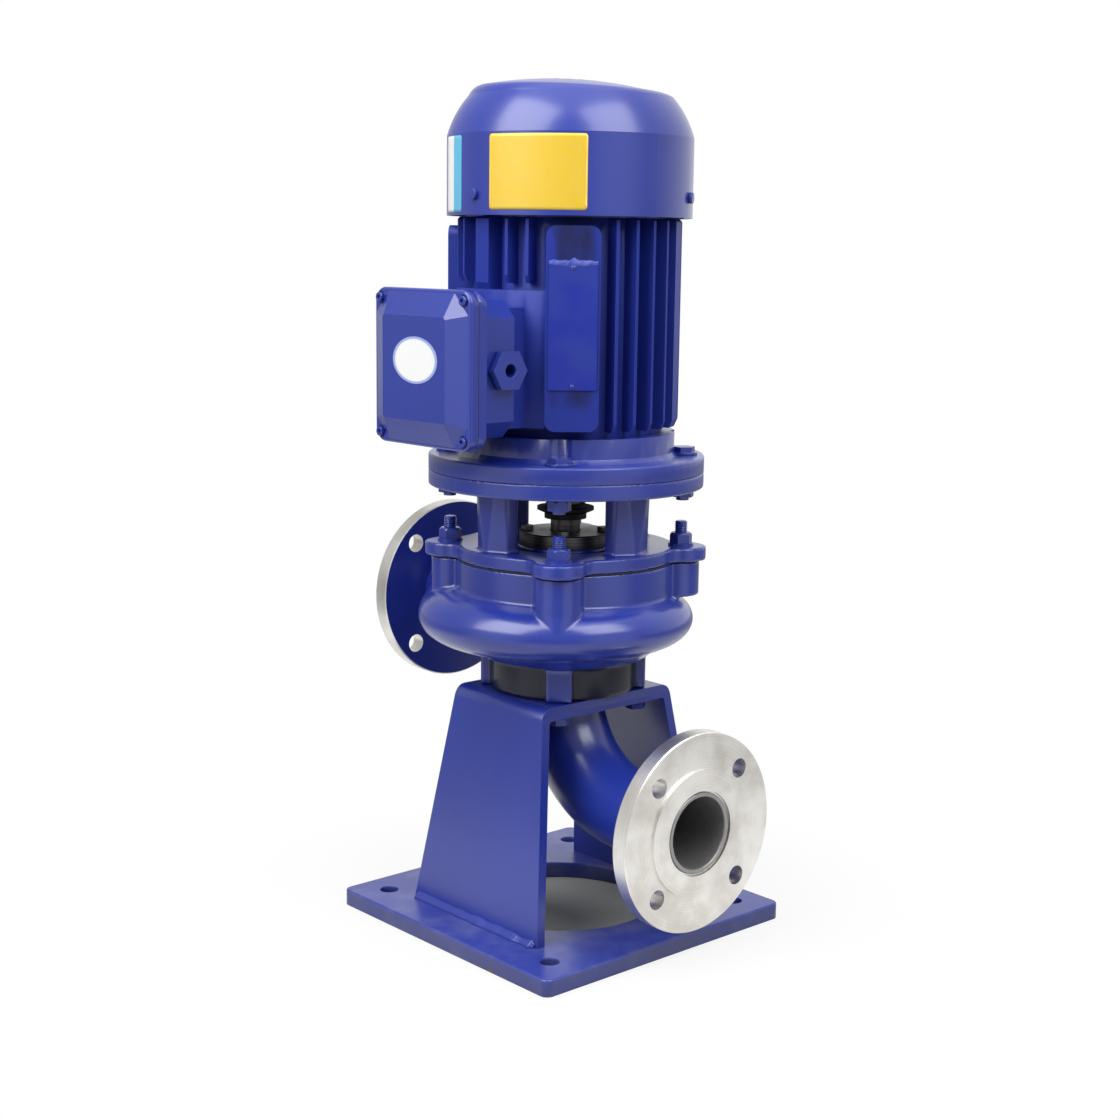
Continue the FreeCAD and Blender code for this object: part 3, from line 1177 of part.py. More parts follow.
def top_shield():
    """Upper end shield with the bearing housing and three tabs for the cowl."""
    rim = TOP_SHIELD_DIAMETER / 2.0
    register = FRAME_BORE_DIAMETER / 2.0 - SPIGOT_GAP
    seat = BEARING_OUTER / 2.0
    housing = seat + BEARING_HOUSING_WALL
    hole = SHAFT_FAN_DIAMETER / 2.0 + 1.0
    spring_z = upper_bearing_z + BEARING_WIDTH + 1.2
    body = turned([(hole, spring_z), (seat, spring_z), (seat, upper_bearing_z), (housing, upper_bearing_z),
                   (housing, frame_top_z - 1.0), (register - 6.0, frame_top_z - 1.0),
                   (register - 6.0, frame_top_z - 5.0), (register, frame_top_z - 5.0), (register, frame_top_z),
                   (rim, frame_top_z), (rim, top_shield_z), (housing, top_shield_z), (housing - 3.0, top_shield_z + 3.0),
                   (hole, top_shield_z + 3.0)])
    reach = COWL_DIAMETER / 2.0 - COWL_SHEET
    half = COWL_TAB_WIDTH / 2.0
    tabs = []
    for angle in COWL_SCREW_ANGLES:
        bridge = block(rim - 4.0, reach - 1.0, -half, half, frame_top_z, top_shield_z)
        upright = block(reach - COWL_TAB_THICKNESS, reach + 2.0, -half, half, frame_top_z, top_shield_z + COWL_TAB_HEIGHT)
        tab = bridge.fuse(upright).common(cylinder(2.0 * reach, frame_top_z, top_shield_z + COWL_TAB_HEIGHT))
        tab.rotate(CENTRE, UP, angle)
        tabs.append(tab)
    body = body.fuse(tabs)
    cuts = [radial_rod(M5[0], reach - COWL_TAB_THICKNESS - 1.0, reach + 2.0, a, cowl_z + COWL_SCREW_RISE)
            for a in COWL_SCREW_ANGLES]
    cuts += [cylinder(M6[0] + 2.0 * BORE_GAP, frame_top_z, top_shield_z, p)
             for p in ring_points(TIE_BOLT_CIRCLE, TIE_BOLT_COUNT, 90.0)]
    return body.cut(cuts)


def radial_rod(diameter, r0, r1, angle, z):
    """Cylinder along a radius."""
    return Part.makeCylinder(diameter / 2.0, r1 - r0, polar(r0, angle, z), polar(1.0, angle))


def motor_tie_bolts():
    """Long bolts from the top shield through the frame into the flange shield."""
    length = top_shield_z - frame_z + 12.0
    return [hex_bolt(M6, p, top_shield_z, length, False)
            for p in ring_points(TIE_BOLT_CIRCLE, TIE_BOLT_COUNT, 90.0)]


# Fan and cowl

def leaning(shape, z, tilt):
    """The shape turned about a point on the shaft so that its low side goes down."""
    shape.rotate(V(0, 0, z), polar(1.0, COWL_LOW_SIDE + 90.0), tilt)
    return shape


def cowl_solid(inset):
    """Solid of the cowl's outside or, moved inwards, of its inside."""
    r = COWL_DIAMETER / 2.0 - inset
    shoulder = COWL_SHOULDER_DIAMETER / 2.0 - inset
    crown = COWL_CROWN_DIAMETER / 2.0 - inset
    z1 = cowl_z + COWL_STRAIGHT
    z2 = z1 + COWL_SHOULDER_RISE - 0.6 * inset
    z3 = z2 + COWL_CROWN_RISE - 0.4 * inset
    bulge = V(0.52 * r + 0.48 * shoulder, 0, 0.44 * z1 + 0.56 * z2) + V(1.0, 0, 0)
    side = Part.makeLine(V(r, 0, cowl_z), V(r, 0, z1))
    cone = Part.Arc(V(r, 0, z1), bulge, V(shoulder, 0, z2)).toShape()
    level = Part.makeLine(V(shoulder, 0, z2), V(0, 0, z2))
    axis = Part.makeLine(V(0, 0, z2), V(0, 0, cowl_z))
    foot = Part.makeLine(V(0, 0, cowl_z), V(r, 0, cowl_z))
    barrel = Part.Face(Part.Wire([side, cone, level, axis, foot])).revolve(CENTRE, UP, 360)
    knee_z = 0.5 * (z2 + z3) + 1.2
    rings = [Part.makeCircle(shoulder, V(0, 0, z2), UP),
             leaning(Part.makeCircle(0.5 * (shoulder + crown) + 1.6, V(0, 0, knee_z), UP), knee_z, 0.6 * COWL_CROWN_TILT),
             leaning(Part.makeCircle(crown, V(0, 0, z3), UP), z3, COWL_CROWN_TILT)]
    edge = Part.makeLoft([Part.Wire(ring) for ring in rings], True, False)
    top = V(0, 0, z3 + COWL_DOME_RISE)
    arc = Part.Arc(V(crown, 0, z3), V(0.5 * crown, 0, z3 + 0.78 * COWL_DOME_RISE), top).toShape()
    middle = Part.makeLine(top, V(0, 0, z3))
    base = Part.makeLine(V(0, 0, z3), V(crown, 0, z3))
    dome = Part.Face(Part.Wire([arc, middle, base])).revolve(CENTRE, UP, 360)
    return barrel.fuse([edge, leaning(dome, z3, COWL_CROWN_TILT)])


def fan_cowl():
    """Pressed sheet cowl with rings of air holes in its crown."""
    cowl = cowl_solid(0.0).cut(cowl_solid(COWL_SHEET))
    z0 = cowl_z + COWL_STRAIGHT + COWL_SHOULDER_RISE - COWL_SHEET
    z1 = z0 + COWL_CROWN_RISE + COWL_DOME_RISE + 10.0
    holes = [cylinder(GRILLE_HOLE_DIAMETER, z0, z1)]
    for ring in range(1, GRILLE_RINGS + 1):
        holes += [cylinder(GRILLE_HOLE_DIAMETER, z0, z1, p)
                  for p in ring_points(2.0 * GRILLE_RING_STEP * ring, 6 * ring)]
    r = COWL_DIAMETER / 2.0
    holes += [radial_rod(M5[0] + BORE_GAP, r - COWL_SHEET - 2.0, r + 2.0, a, cowl_z + COWL_SCREW_RISE)
              for a in COWL_SCREW_ANGLES]
    return cowl.cut(holes)


def cowl_screws():
    """Pan-head screws that hold the cowl on its tabs."""
    r = COWL_DIAMETER / 2.0
    screws = []
    for angle in COWL_SCREW_ANGLES:
        z = cowl_z + COWL_SCREW_RISE
        shank = radial_rod(M5[0], r - COWL_SHEET - COWL_TAB_THICKNESS, r, angle, z)
        head = radial_rod(2.0 * M5[0], r, r + M5[2], angle, z)
        screws.append(shank.fuse(head).removeSplitter())
    return screws


def cooling_fan():
    """Radial fan that works in either direction."""
    hub = cylinder(FAN_HUB_DIAMETER, fan_z, fan_z + FAN_DISC + FAN_BLADE_HEIGHT)
    disc = cylinder(FAN_DIAMETER, fan_z, fan_z + FAN_DISC)
    solids = [hub, disc]
    for i in range(FAN_BLADE_COUNT):
        half = FAN_BLADE_THICKNESS / 2.0
        r0 = FAN_HUB_DIAMETER / 2.0 - 2.0
        r1 = FAN_DIAMETER / 2.0 - 1.0
        outline = [V(r0, -half, fan_z + 1.0), V(r1, -half, fan_z + 1.0), V(r1, -half, fan_z + FAN_BLADE_HEIGHT * 0.7),
                   V(r1 - 26.0, -half, fan_z + FAN_DISC + FAN_BLADE_HEIGHT), V(r0, -half, fan_z + FAN_DISC + FAN_BLADE_HEIGHT)]
        blade = prism(outline, V(0, 2.0 * half, 0))
        blade.rotate(CENTRE, UP, 360.0 * i / FAN_BLADE_COUNT)
        solids.append(blade)
    return fused(solids).cut(cylinder(SHAFT_FAN_DIAMETER, fan_z, fan_z + FAN_DISC + FAN_BLADE_HEIGHT))


def fan_retaining_ring():
    """Spring ring in the shaft groove above the fan."""
    z0 = fan_z + FAN_DISC + FAN_BLADE_HEIGHT
    ring = tube(SHAFT_FAN_DIAMETER + 5.0, SHAFT_FAN_DIAMETER - 1.6, z0, z0 + 1.2)
    return ring.cut(block(0, SHAFT_FAN_DIAMETER, -2.0, 2.0, z0, z0 + 1.2))


# Terminal box

def box_outline(inset, y):
    """Outline of the box with its corners cut off, moved inwards by inset."""
    corner = BOX_CORNER_CUT - inset * (2.0 - math.sqrt(2.0))
    return cut_corner_rectangle(BOX_WIDTH - 2.0 * inset, BOX_HEIGHT - 2.0 * inset, corner, y)


def terminal_box_base():
    """Open box on the frame's neck, with lid posts in the corners and the gland hole."""
    outer = Part.Face(box_outline(0.0, -BOX_FRONT_REACH))
    depth = BOX_FRONT_REACH - BOX_BACK_REACH
    body = outer.extrude(V(0, depth, 0))
    rim = Part.Face(rounded_rectangle(LID_WIDTH - 2.0, LID_HEIGHT - 2.0, LID_CORNER, -BOX_FRONT_REACH))
    body = body.fuse(rim.extrude(V(0, BOX_RIM, 0)))
    inner = Part.Face(box_outline(BOX_WALL, -BOX_FRONT_REACH))
    body = body.cut(inner.extrude(V(0, depth - BOX_WALL, 0)))
    wire_hole = rod_y(28.0, -BOX_FRONT_REACH, -BOX_BACK_REACH, 0.0, box_z)
    gland_hole = rod_x(GLAND_BODY_DIAMETER - 6.0, BOX_WIDTH / 2.0 - BOX_WALL - 3.0, BOX_WIDTH / 2.0 + 1.0,
                       -BOX_FRONT_REACH + GLAND_SETBACK, box_z)
    screw_holes = [rod_y(M5[0], -BOX_FRONT_REACH, -BOX_FRONT_REACH + LID_SCREW_BITE + 1.0, x, z)
                   for x, z in lid_screw_places()]
    return body.cut([wire_hole, gland_hole] + screw_holes)


def lid_screw_places():
    """x and z of the four lid screws."""
    x = LID_WIDTH / 2.0 - LID_SCREW_INSET
    z = LID_HEIGHT / 2.0 - LID_SCREW_INSET
    return [(sx * x, box_z + sz * z) for sx in (-1, 1) for sz in (-1, 1)]


def terminal_box_gasket():
    """Flat gasket under the lid."""
    front = -BOX_FRONT_REACH - BOX_GASKET
    outer = Part.Face(rounded_rectangle(LID_WIDTH - 2.0, LID_HEIGHT - 2.0, LID_CORNER, front))
    inner = Part.Face(box_outline(BOX_WALL, front))
    gasket = outer.extrude(V(0, BOX_GASKET, 0)).cut(inner.extrude(V(0, BOX_GASKET, 0)))
    return gasket.cut([rod_y(M5[0], front, -BOX_FRONT_REACH, x, z) for x, z in lid_screw_places()])


def cut_corner_rectangle(width, height, corner, y):
    """Eight-sided outline in an XZ plane, centred on the box."""
    w = width / 2.0
    h = height / 2.0
    points = [V(w, y, box_z + h - corner), V(w - corner, y, box_z + h), V(corner - w, y, box_z + h),
              V(-w, y, box_z + h - corner), V(-w, y, box_z - h + corner), V(corner - w, y, box_z - h),
              V(w - corner, y, box_z - h), V(w, y, box_z - h + corner)]
    return wire(points)


def lid_crown(inset, low_y, high_y):
    """Bevelled crown of the lid, moved inwards by inset."""
    w = LID_WIDTH - 2.0 * (LID_MARGIN + inset)
    h = LID_HEIGHT - 2.0 * (LID_MARGIN + inset)
    low = cut_corner_rectangle(w, h, LID_CORNER_CUT, low_y)
    high = cut_corner_rectangle(w - 2.0 * LID_BEVEL, h - 2.0 * LID_BEVEL, LID_TOP_CORNER_CUT, high_y)
    return Part.makeLoft([low, high], True, True)


def terminal_box_lid():
    """Cast lid with a bevelled crown that leaves its screw corners low."""
    back = -BOX_FRONT_REACH - BOX_GASKET
    rim_front = back - LID_RIM
    front = rim_front - LID_CROWN
    rim = Part.Face(rounded_rectangle(LID_WIDTH, LID_HEIGHT, LID_CORNER, back)).extrude(V(0, -LID_RIM, 0))
    edges = [e for e in rim.Edges if e.BoundBox.YMax < rim_front + 0.01]
    rim = rim.makeFillet(LID_MARGIN - 0.2, edges)
    lid = rim.fuse(lid_crown(0.0, rim_front, front)).cut(lid_crown(LID_WALL, back, front + LID_WALL))
    holes = []
    for x, z in lid_screw_places():
        holes.append(rod_y(M5[0] + 2.0 * BORE_GAP, rim_front, back, x, z))
        holes.append(rod_y(2.2 * M5[0], rim_front - 1.0, rim_front + LID_SCREW_RECESS, x, z))
    return lid.cut(holes)


def terminal_lid_screws():
    """Socket-head screws in the lid's corner recesses."""
    back = -BOX_FRONT_REACH - BOX_GASKET
    seat = back - LID_RIM + LID_SCREW_RECESS
    screws = []
    for x, z in lid_screw_places():
        shank = rod_y(M5[0], seat, -BOX_FRONT_REACH + LID_SCREW_BITE, x, z)
        head = rod_y(1.7 * M5[0], seat - LID_SCREW_HEAD, seat, x, z)
        socket = rod_y(0.84 * M5[0], seat - LID_SCREW_HEAD, seat - LID_SCREW_HEAD + LID_SCREW_SOCKET, x, z)
        screws.append(head.fuse(shank).removeSplitter().cut(socket))
    return screws


def terminal_board():
    """Moulded board on the box floor, with six stud holes."""
    y1 = -BOX_BACK_REACH - BOX_WALL
    y0 = y1 - TERMINAL_BOARD_THICKNESS
    w = TERMINAL_BOARD_WIDTH / 2.0
    h = TERMINAL_BOARD_HEIGHT / 2.0
    board = block(-w, w, y0, y1, box_z - h, box_z + h)
    return board.cut([rod_y(M5[0], y0, y1, x, z) for x, z in terminal_places()])


def terminal_places():
    """x and z of the six terminals."""
    x = TERMINAL_SPACING_X
    z = TERMINAL_SPACING_Z / 2.0
    return [(i * x, box_z + s * z) for i in (-1, 0, 1) for s in (-1, 1)]


def terminal_studs():
    """Brass studs with their nuts."""
    y1 = -BOX_BACK_REACH - BOX_WALL
    y0 = y1 - TERMINAL_BOARD_THICKNESS
    studs = []
    for x, z in terminal_places():
        pin = rod_y(M5[0], y0 - 11.0, y1, x, z)
        nut = hexagon(M5[1], 0, 4.0, CENTRE)
        nut.rotate(CENTRE, AXIS_X, 90)
        nut.translate(V(x, y0, z))
        studs.append(pin.fuse(nut).removeSplitter())
    return studs


def cable_gland():
    """Gland in the side of the box: round collar, then a hexagon, open for the cable."""
    x0 = BOX_WIDTH / 2.0
    x1 = x0 + GLAND_REACH
    hex_x = x1 - GLAND_HEX_LENGTH
    y = -BOX_FRONT_REACH + GLAND_SETBACK
    hexa = hexagon(GLAND_HEX, 0, GLAND_HEX_LENGTH, CENTRE, 30.0)
    hexa.rotate(CENTRE, AXIS_Y, 90)
    hexa.translate(V(hex_x, y, box_z))
    collar = rod_x(GLAND_BODY_DIAMETER, x0, hex_x, y, box_z)
    shank = rod_x(GLAND_BODY_DIAMETER - 6.0, x0 - BOX_WALL - 3.0, x0, y, box_z)
    body = hexa.fuse([collar, shank])
    return body.cut(rod_x(GLAND_BORE_DIAMETER, x0 - BOX_WALL - 3.0, x1, y, box_z))


def main():
    os.makedirs("parts", exist_ok=True)
    for piece in (base_plate, stand_frame, stand_weld_beads, foot_bolts, foot_washers, suction_elbow,
                  elbow_gasket, elbow_bolts, volute_casing, casing_wear_ring, casing_gasket, lantern_bracket,
                  casing_studs, casing_nuts, casing_washers, seal_gland_plate, seal_gland_bolts,
                  seal_stationary_seat, seal_rotating_head, seal_spring, impeller, impeller_key, impeller_nut,
                  motor_shaft, water_slinger, bearing_wave_spring, drive_end_shield, motor_flange_bolts,
                  motor_flange_nuts, motor_frame, rating_plate_blank, stator_core, stator_windings, rotor_core,
                  top_shield, motor_tie_bolts, fan_cowl, cowl_screws, cooling_fan, fan_retaining_ring,
                  terminal_box_base, terminal_box_gasket, terminal_box_lid, terminal_lid_screws,
                  terminal_board, terminal_studs, cable_gland):
        export(piece.__name__, piece())
    export("suction_flange", pipe_flange(FLANGE_DIAMETER, SUCTION_FACE_REACH, SUCTION_AXIS_HEIGHT))
    export("discharge_flange", pipe_flange(DISCHARGE_FLANGE_DIAMETER, -DISCHARGE_FACE_REACH, discharge_z))
    for name, z0 in (("lower", lower_bearing_z), ("upper", upper_bearing_z)):
        export(name + "_bearing_outer_ring", bearing_outer_ring(z0))
        export(name + "_bearing_inner_ring", bearing_inner_ring(z0))
        export(name + "_bearing_balls", bearing_balls(z0))
        export(name + "_bearing_cage", bearing_cage(z0))


main()
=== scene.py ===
import json
import math

import bmesh
import bpy
from mathutils import Matrix, Vector
from mathutils.noise import noise as lattice_noise

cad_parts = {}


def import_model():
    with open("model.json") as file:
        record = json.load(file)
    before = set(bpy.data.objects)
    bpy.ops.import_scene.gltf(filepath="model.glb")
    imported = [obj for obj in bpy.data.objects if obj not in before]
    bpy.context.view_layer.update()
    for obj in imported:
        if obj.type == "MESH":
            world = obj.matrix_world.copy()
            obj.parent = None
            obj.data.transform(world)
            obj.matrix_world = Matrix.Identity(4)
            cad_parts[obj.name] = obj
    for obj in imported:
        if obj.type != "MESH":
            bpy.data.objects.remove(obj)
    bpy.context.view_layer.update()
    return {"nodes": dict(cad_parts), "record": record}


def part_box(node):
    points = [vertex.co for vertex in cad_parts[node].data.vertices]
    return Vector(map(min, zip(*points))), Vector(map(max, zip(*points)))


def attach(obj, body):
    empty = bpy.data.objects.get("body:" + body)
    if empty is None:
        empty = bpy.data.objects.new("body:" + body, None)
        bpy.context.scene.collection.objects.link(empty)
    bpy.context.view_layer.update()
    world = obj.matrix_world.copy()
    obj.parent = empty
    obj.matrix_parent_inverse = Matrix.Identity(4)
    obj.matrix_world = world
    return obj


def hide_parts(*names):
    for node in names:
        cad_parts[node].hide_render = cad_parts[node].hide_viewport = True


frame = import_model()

MM = 0.001
X, Y, Z = 0, 1, 2
ORIGIN = (0.0, 0.0, 0.0)

# Camera, as fitted to the photograph
PHOTO_SIDE = 1120.0
FOCAL_PIXELS = 1811.645
SENSOR_WIDTH = 36.0
CAMERA_AZIMUTH = 48.028
CAMERA_ELEVATION = 9.873
CAMERA_ROLL = 0.772
CAMERA_DISTANCE = 1730.453 * MM
CAMERA_NEAR = 50.0 * MM
TARGET_SIDE = -4.614 * MM
TARGET_HEIGHT = 351.223 * MM

# Places that come from the frame
COWL_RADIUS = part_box("fan_cowl")[1].x
LID_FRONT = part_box("terminal_box_lid")[0].y
BASE_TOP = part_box("base_plate")[1].z
STAND_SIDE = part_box("stand_frame")[1].y
WELD_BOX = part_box("stand_weld_beads")
STUD_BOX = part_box("casing_studs")
PLATE_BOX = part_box("rating_plate_blank")
SUCTION_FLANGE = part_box("suction_flange")
DISCHARGE_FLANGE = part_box("discharge_flange")

# Bare metal in the two ports. The suction faces +X and the discharge -X
PORT_RADIUS = 33.5 * MM
BORE_MARGIN = 2.0 * MM
PIPE_END_MARGIN = 4.8 * MM
PIPE_END_REACH = 170.0 * MM
ELBOW_BORE_REACH = 98.0 * MM
ELBOW_BEND_RADIUS = 100.0 * MM
CASING_BORE_REACH = -130.0 * MM
FLANGE_BACK_INSET = 0.4 * MM
FLANGE_RIM_INSET = 1.2 * MM

# Ring below the casing, between its feet, coloured near black as painted shade
SKIRT_RADIUS = 70.0 * MM
SKIRT_TOP = 262.0 * MM
SKIRT_FADE = 1.0 * MM
SKIRT_OUTER_FADE = 2.5 * MM

# Rating plate on its pad, with rivets, stains and a crust of paint that carries a painted highlight
PLATE_ANGLE = -40.0
PLATE_REACH = 108.0 * MM
RIVET_RADIUS = 2.2 * MM
RIVET_INSET = 3.0 * MM
RIVET_FLATNESS = 0.55
STAIN_NEAR = 12.0 * MM
STAIN_FAR = 24.0 * MM
STAIN_BELOW = 22.0 * MM
STAIN_ABOVE = 6.0 * MM
STAIN_FADE = 4.0 * MM
CRUST_MIDDLE = 0.6 * MM
CRUST_HALF_HEIGHT = 2.9 * MM
CRUST_RAGGEDNESS = 1.3 * MM
CRUST_ROOT = 1.3 * MM
CRUST_SWELL = 1.6 * MM
CRUST_BUMPS = 0.25 * MM

# Labels, all blank
YELLOW_LABEL_ANGLES = (-80.5, -34.5)
YELLOW_LABEL_HEIGHTS = (677.5 * MM, 742.3 * MM)
YELLOW_BORDER_WHOLE = 2.0 * MM
YELLOW_BORDER_END = 2.6 * MM
BLUE_LABEL_ANGLES = (-118.8, -100.4)
BLUE_LABEL_HEIGHTS = (675.5 * MM, 742.5 * MM)
BLUE_LABEL_PARTING = -109.0
BLUE_LABEL_FADE = 1.0 * MM
LABEL_THICKNESS = 0.15 * MM
LABEL_GAP = 0.05 * MM
LABEL_CORNER = 2.5 * MM
STICKER_CENTRE = (2.6 * MM, 547.3 * MM)
STICKER_HALF_WIDTH = 31.5 * MM
STICKER_HALF_HEIGHT = 20.5 * MM
STICKER_RIM = 0.14

# Weld beads and stud threads
WELD_RIPPLE_PITCH = 4.2 * MM
WELD_RIPPLE = 0.012
WELD_SWELL = 0.34
WELD_WANDER = 1.8 * MM
WELD_ROOT_DEPTH = 1.5 * MM
WELD_ROOT_HEIGHT = 0.2 * MM
STAND_LEAN = 0.133
STUD_RADIUS = 6.0 * MM
THREAD_LENGTH = 14.0 * MM
THREAD_PITCH = 1.75 * MM
THREAD_DEPTH = 0.85 * MM
THREAD_SLICE = 0.22 * MM
STUD_CHAMFER = 1.4 * MM

# Softer edges, with the rounds of smoothing that each casting gets
LARGE_EDGE = 1.0 * MM
SMALL_EDGE = 0.4 * MM
EDGE_ANGLE = 32.0
SHADE_ANGLE = 40.0
FLAT_ANGLE = 0.15
SAME_PLACE = 0.004 * MM
CASTING_VOXEL = 1.5 * MM
LARGE_PIECES = ("base_plate", "stand_frame", "drive_end_shield", "terminal_box_base",
                "terminal_box_lid", "motor_frame")
SMALL_PIECES = ("casing_nuts", "motor_flange_bolts", "motor_flange_nuts", "foot_bolts", "cable_gland",
                "motor_tie_bolts", "terminal_lid_screws", "cowl_screws")
CASTING_ROUNDS = {"volute_casing": 6, "suction_elbow": 5, "lantern_bracket": 6}

# Enamel and what lies on it. Depths are those of bumps, shares those of colours
CASTING_DEPTH = 0.50 * MM
PEEL_DEPTH = 0.12 * MM
COAT_WEIGHT = 0.55
COAT_ROUGHNESS = 0.20
ENAMEL_SPECULAR = 0.5
SKIRT_SPECULAR = 0.1
RUNS_SHARE = 0.22
DUST_SHARES = (0.04, 0.22)
# Even darkening of the base plate's sides, below its top edge
SIDE_DARKENING_SHARE = 0.45
SIDE_DARKENING_START = 1.0 * MM
SIDE_DARKENING_WHOLE = 3.0 * MM
SMUDGE_PLACE = (100.0 * MM, -150.0 * MM, 0.0)
SMUDGE_NEAR = 15.0 * MM
SMUDGE_FAR = 55.0 * MM
SMUDGE_WHOLE = 1.0 * MM
SMUDGE_TOP = 9.0 * MM
STAIN_SHARES = (0.20, 0.95)
STAIN_ABOVE_SHARE = 0.90
AGE_SHARE = 0.12

# Lathe marks: grooves and broader bands round the axis, and how far they drift along it
GROOVE_DEPTH = 0.02 * MM
BAND_DEPTH = 0.05 * MM
LATHE_DRIFT = 0.7

# Colours, linear
BLUE_DEEP = (0.011, 0.024, 0.222, 1.0)
BLUE_MAIN = (0.014, 0.031, 0.272, 1.0)
BLUE_LIGHT = (0.020, 0.042, 0.318, 1.0)
BLUE_PLATE = (0.007, 0.019, 0.286, 1.0)
# Darker blue for the stains on the pad and for the base plate's darker sides
BLUE_DARKENING = (0.006, 0.008, 0.045, 1.0)
# Lighter blue of the paint crust, a painted highlight
CRUST_PAINTED_HIGHLIGHT = (0.085, 0.110, 0.400, 1.0)
DUST_GREY = (0.300, 0.300, 0.360, 1.0)
RUST_DARK = (0.050, 0.024, 0.016, 1.0)
RUST_LIGHT = (0.160, 0.085, 0.050, 1.0)
# Painted shade on the ring below the casing
SKIRT_PAINTED_SHADE = (0.012, 0.014, 0.030, 1.0)
BORE_GREY = (0.260, 0.255, 0.260, 1.0)
BORE_LIGHT = (0.360, 0.350, 0.350, 1.0)
LABEL_YELLOW = (0.710, 0.460, 0.002, 1.0)
LABEL_YELLOW_EDGE = (0.730, 0.520, 0.020, 1.0)
LABEL_CYAN = (0.060, 0.410, 0.640, 1.0)
LABEL_WHITE = (0.780, 0.790, 0.790, 1.0)
LABEL_AGE = (0.640, 0.610, 0.500, 1.0)
STICKER_HALO = (0.260, 0.330, 0.660, 1.0)
# Floor colours: painted shade below the base plate, and a painted pool of light that dims far off
FLOOR_PAINTED_SHADE = (0.320, 0.332, 0.308, 1.0)
FLOOR_PAINTED_POOL = (0.650, 0.650, 0.650, 1.0)
FLOOR_PAINTED_DIM = (0.060, 0.060, 0.060, 1.0)
WHITE = (1.0, 1.0, 1.0, 1.0)

# Pairs of a light and a dark tone, linear
FLANGE_TONES = ((0.920, 0.900, 0.860, 1.0), (0.650, 0.625, 0.580, 1.0))
SHAFT_TONES = ((0.200, 0.195, 0.190, 1.0), (0.080, 0.078, 0.075, 1.0))
BEARING_TONES = ((0.720, 0.720, 0.720, 1.0), (0.550, 0.550, 0.550, 1.0))
BRONZE_TONES = ((0.620, 0.400, 0.180, 1.0), (0.400, 0.250, 0.110, 1.0))
CAGE_TONES = ((0.740, 0.530, 0.220, 1.0), (0.550, 0.370, 0.140, 1.0))
TERMINAL_TONES = ((0.780, 0.580, 0.250, 1.0), (0.600, 0.420, 0.170, 1.0))
COPPER_TONES = ((0.500, 0.190, 0.070, 1.0), (0.260, 0.080, 0.030, 1.0))
SPRING_TONES = ((0.620, 0.620, 0.630, 1.0), (0.420, 0.420, 0.430, 1.0))
CORE_TONES = ((0.220, 0.220, 0.230, 1.0), (0.100, 0.100, 0.105, 1.0))
IRON_TONES = ((0.060, 0.060, 0.066, 1.0), (0.026, 0.026, 0.030, 1.0))
CERAMIC_TONES = ((0.860, 0.840, 0.780, 1.0), (0.800, 0.770, 0.700, 1.0))
CARBON_TONES = ((0.035, 0.035, 0.038, 1.0), (0.018, 0.018, 0.020, 1.0))
GASKET_TONES = ((0.016, 0.016, 0.020, 1.0), (0.007, 0.007, 0.009, 1.0))
SLINGER_TONES = ((0.018, 0.018, 0.020, 1.0), (0.008, 0.008, 0.009, 1.0))
FAN_TONES = ((0.028, 0.028, 0.030, 1.0), (0.018, 0.018, 0.020, 1.0))
BOARD_TONES = ((0.190, 0.060, 0.030, 1.0), (0.120, 0.038, 0.020, 1.0))

# Studio, in degrees, metres and watts. A spread is the pair of cosines between which a part of the
# room fades in
LAMPS = {
    "left_softbox": {"azimuth": -3.0, "elevation": 42.0, "width": 1.40, "height": 1.75, "power": 43.0},
    "right_softbox": {"azimuth": 92.0, "elevation": 46.0, "width": 1.20, "height": 1.35, "power": 25.0},
}
LAMP_DISTANCE = 1.9
LAMP_TARGET_HEIGHT = 0.42
BACKGROUND_IN_GLOSS = 0.3
BELOW_LAMP_SPREAD = (0.86, 0.99)
BACK_WALL_AZIMUTH = -170.0
BACK_WALL_ELEVATION = 12.0
BACK_WALL_SPREAD = (0.30, 0.95)
WALL_STRENGTHS = (0.28, 1.00)
CEILING_SPREAD = (0.78, 0.98)
CEILING_STRENGTH = 1.4
FLOOR_HALF_SIDE = 6.0
FLOOR_DROP = 0.2 * MM
# Painted shade below the base plate's opening, and the radii over which the painted pool of light dims
SHADED_FLOOR_RADIUS = 130.0 * MM
SHADED_FLOOR_FADE = 20.0 * MM
NEAR_FLOOR_RADII = (0.18, 0.42)
NEAR_FLOOR_WHITE = 0.82
POOL_FADE_RADII = (0.45, 1.30)


def towards(azimuth, elevation):
    """Unit vector from the object towards a place round it. Azimuth 0 is the -Y side."""
    turn = math.radians(azimuth)
    rise = math.radians(elevation)
    return Vector((math.sin(turn) * math.cos(rise), -math.cos(turn) * math.cos(rise), math.sin(rise)))


def port_centre(flange):
    """The point of the pump's axis that is level with the middle of a flange."""
    return (0.0, 0.0, (flange[0].z + flange[1].z) / 2.0)


def plate_axes():
    """Unit vectors out of the rating plate's face and along its width."""
    turn = math.radians(PLATE_ANGLE)
    return Vector((math.cos(turn), math.sin(turn), 0.0)), Vector((-math.sin(turn), math.cos(turn), 0.0))


def plate_face():
    """How far the front of the rating plate lies from the axis, and half its width."""
    outward, along = plate_axes()
    places = [vertex.co for vertex in frame["nodes"]["rating_plate_blank"].data.vertices]
    return max(place.dot(outward) for place in places), max(place.dot(along) for place in places)


# Node helpers

def new_material(name):
    """An empty principled material: the material, its tree and its shader."""
    made = bpy.data.materials.new(name)
    made.use_nodes = True
    return made, made.node_tree, made.node_tree.nodes["Principled BSDF"]


def put(tree, socket, value):
    """Joins an output to a socket, or sets the socket's own value."""
    if isinstance(value, bpy.types.NodeSocket):
        tree.links.new(value, socket)
    else:
        socket.default_value = value


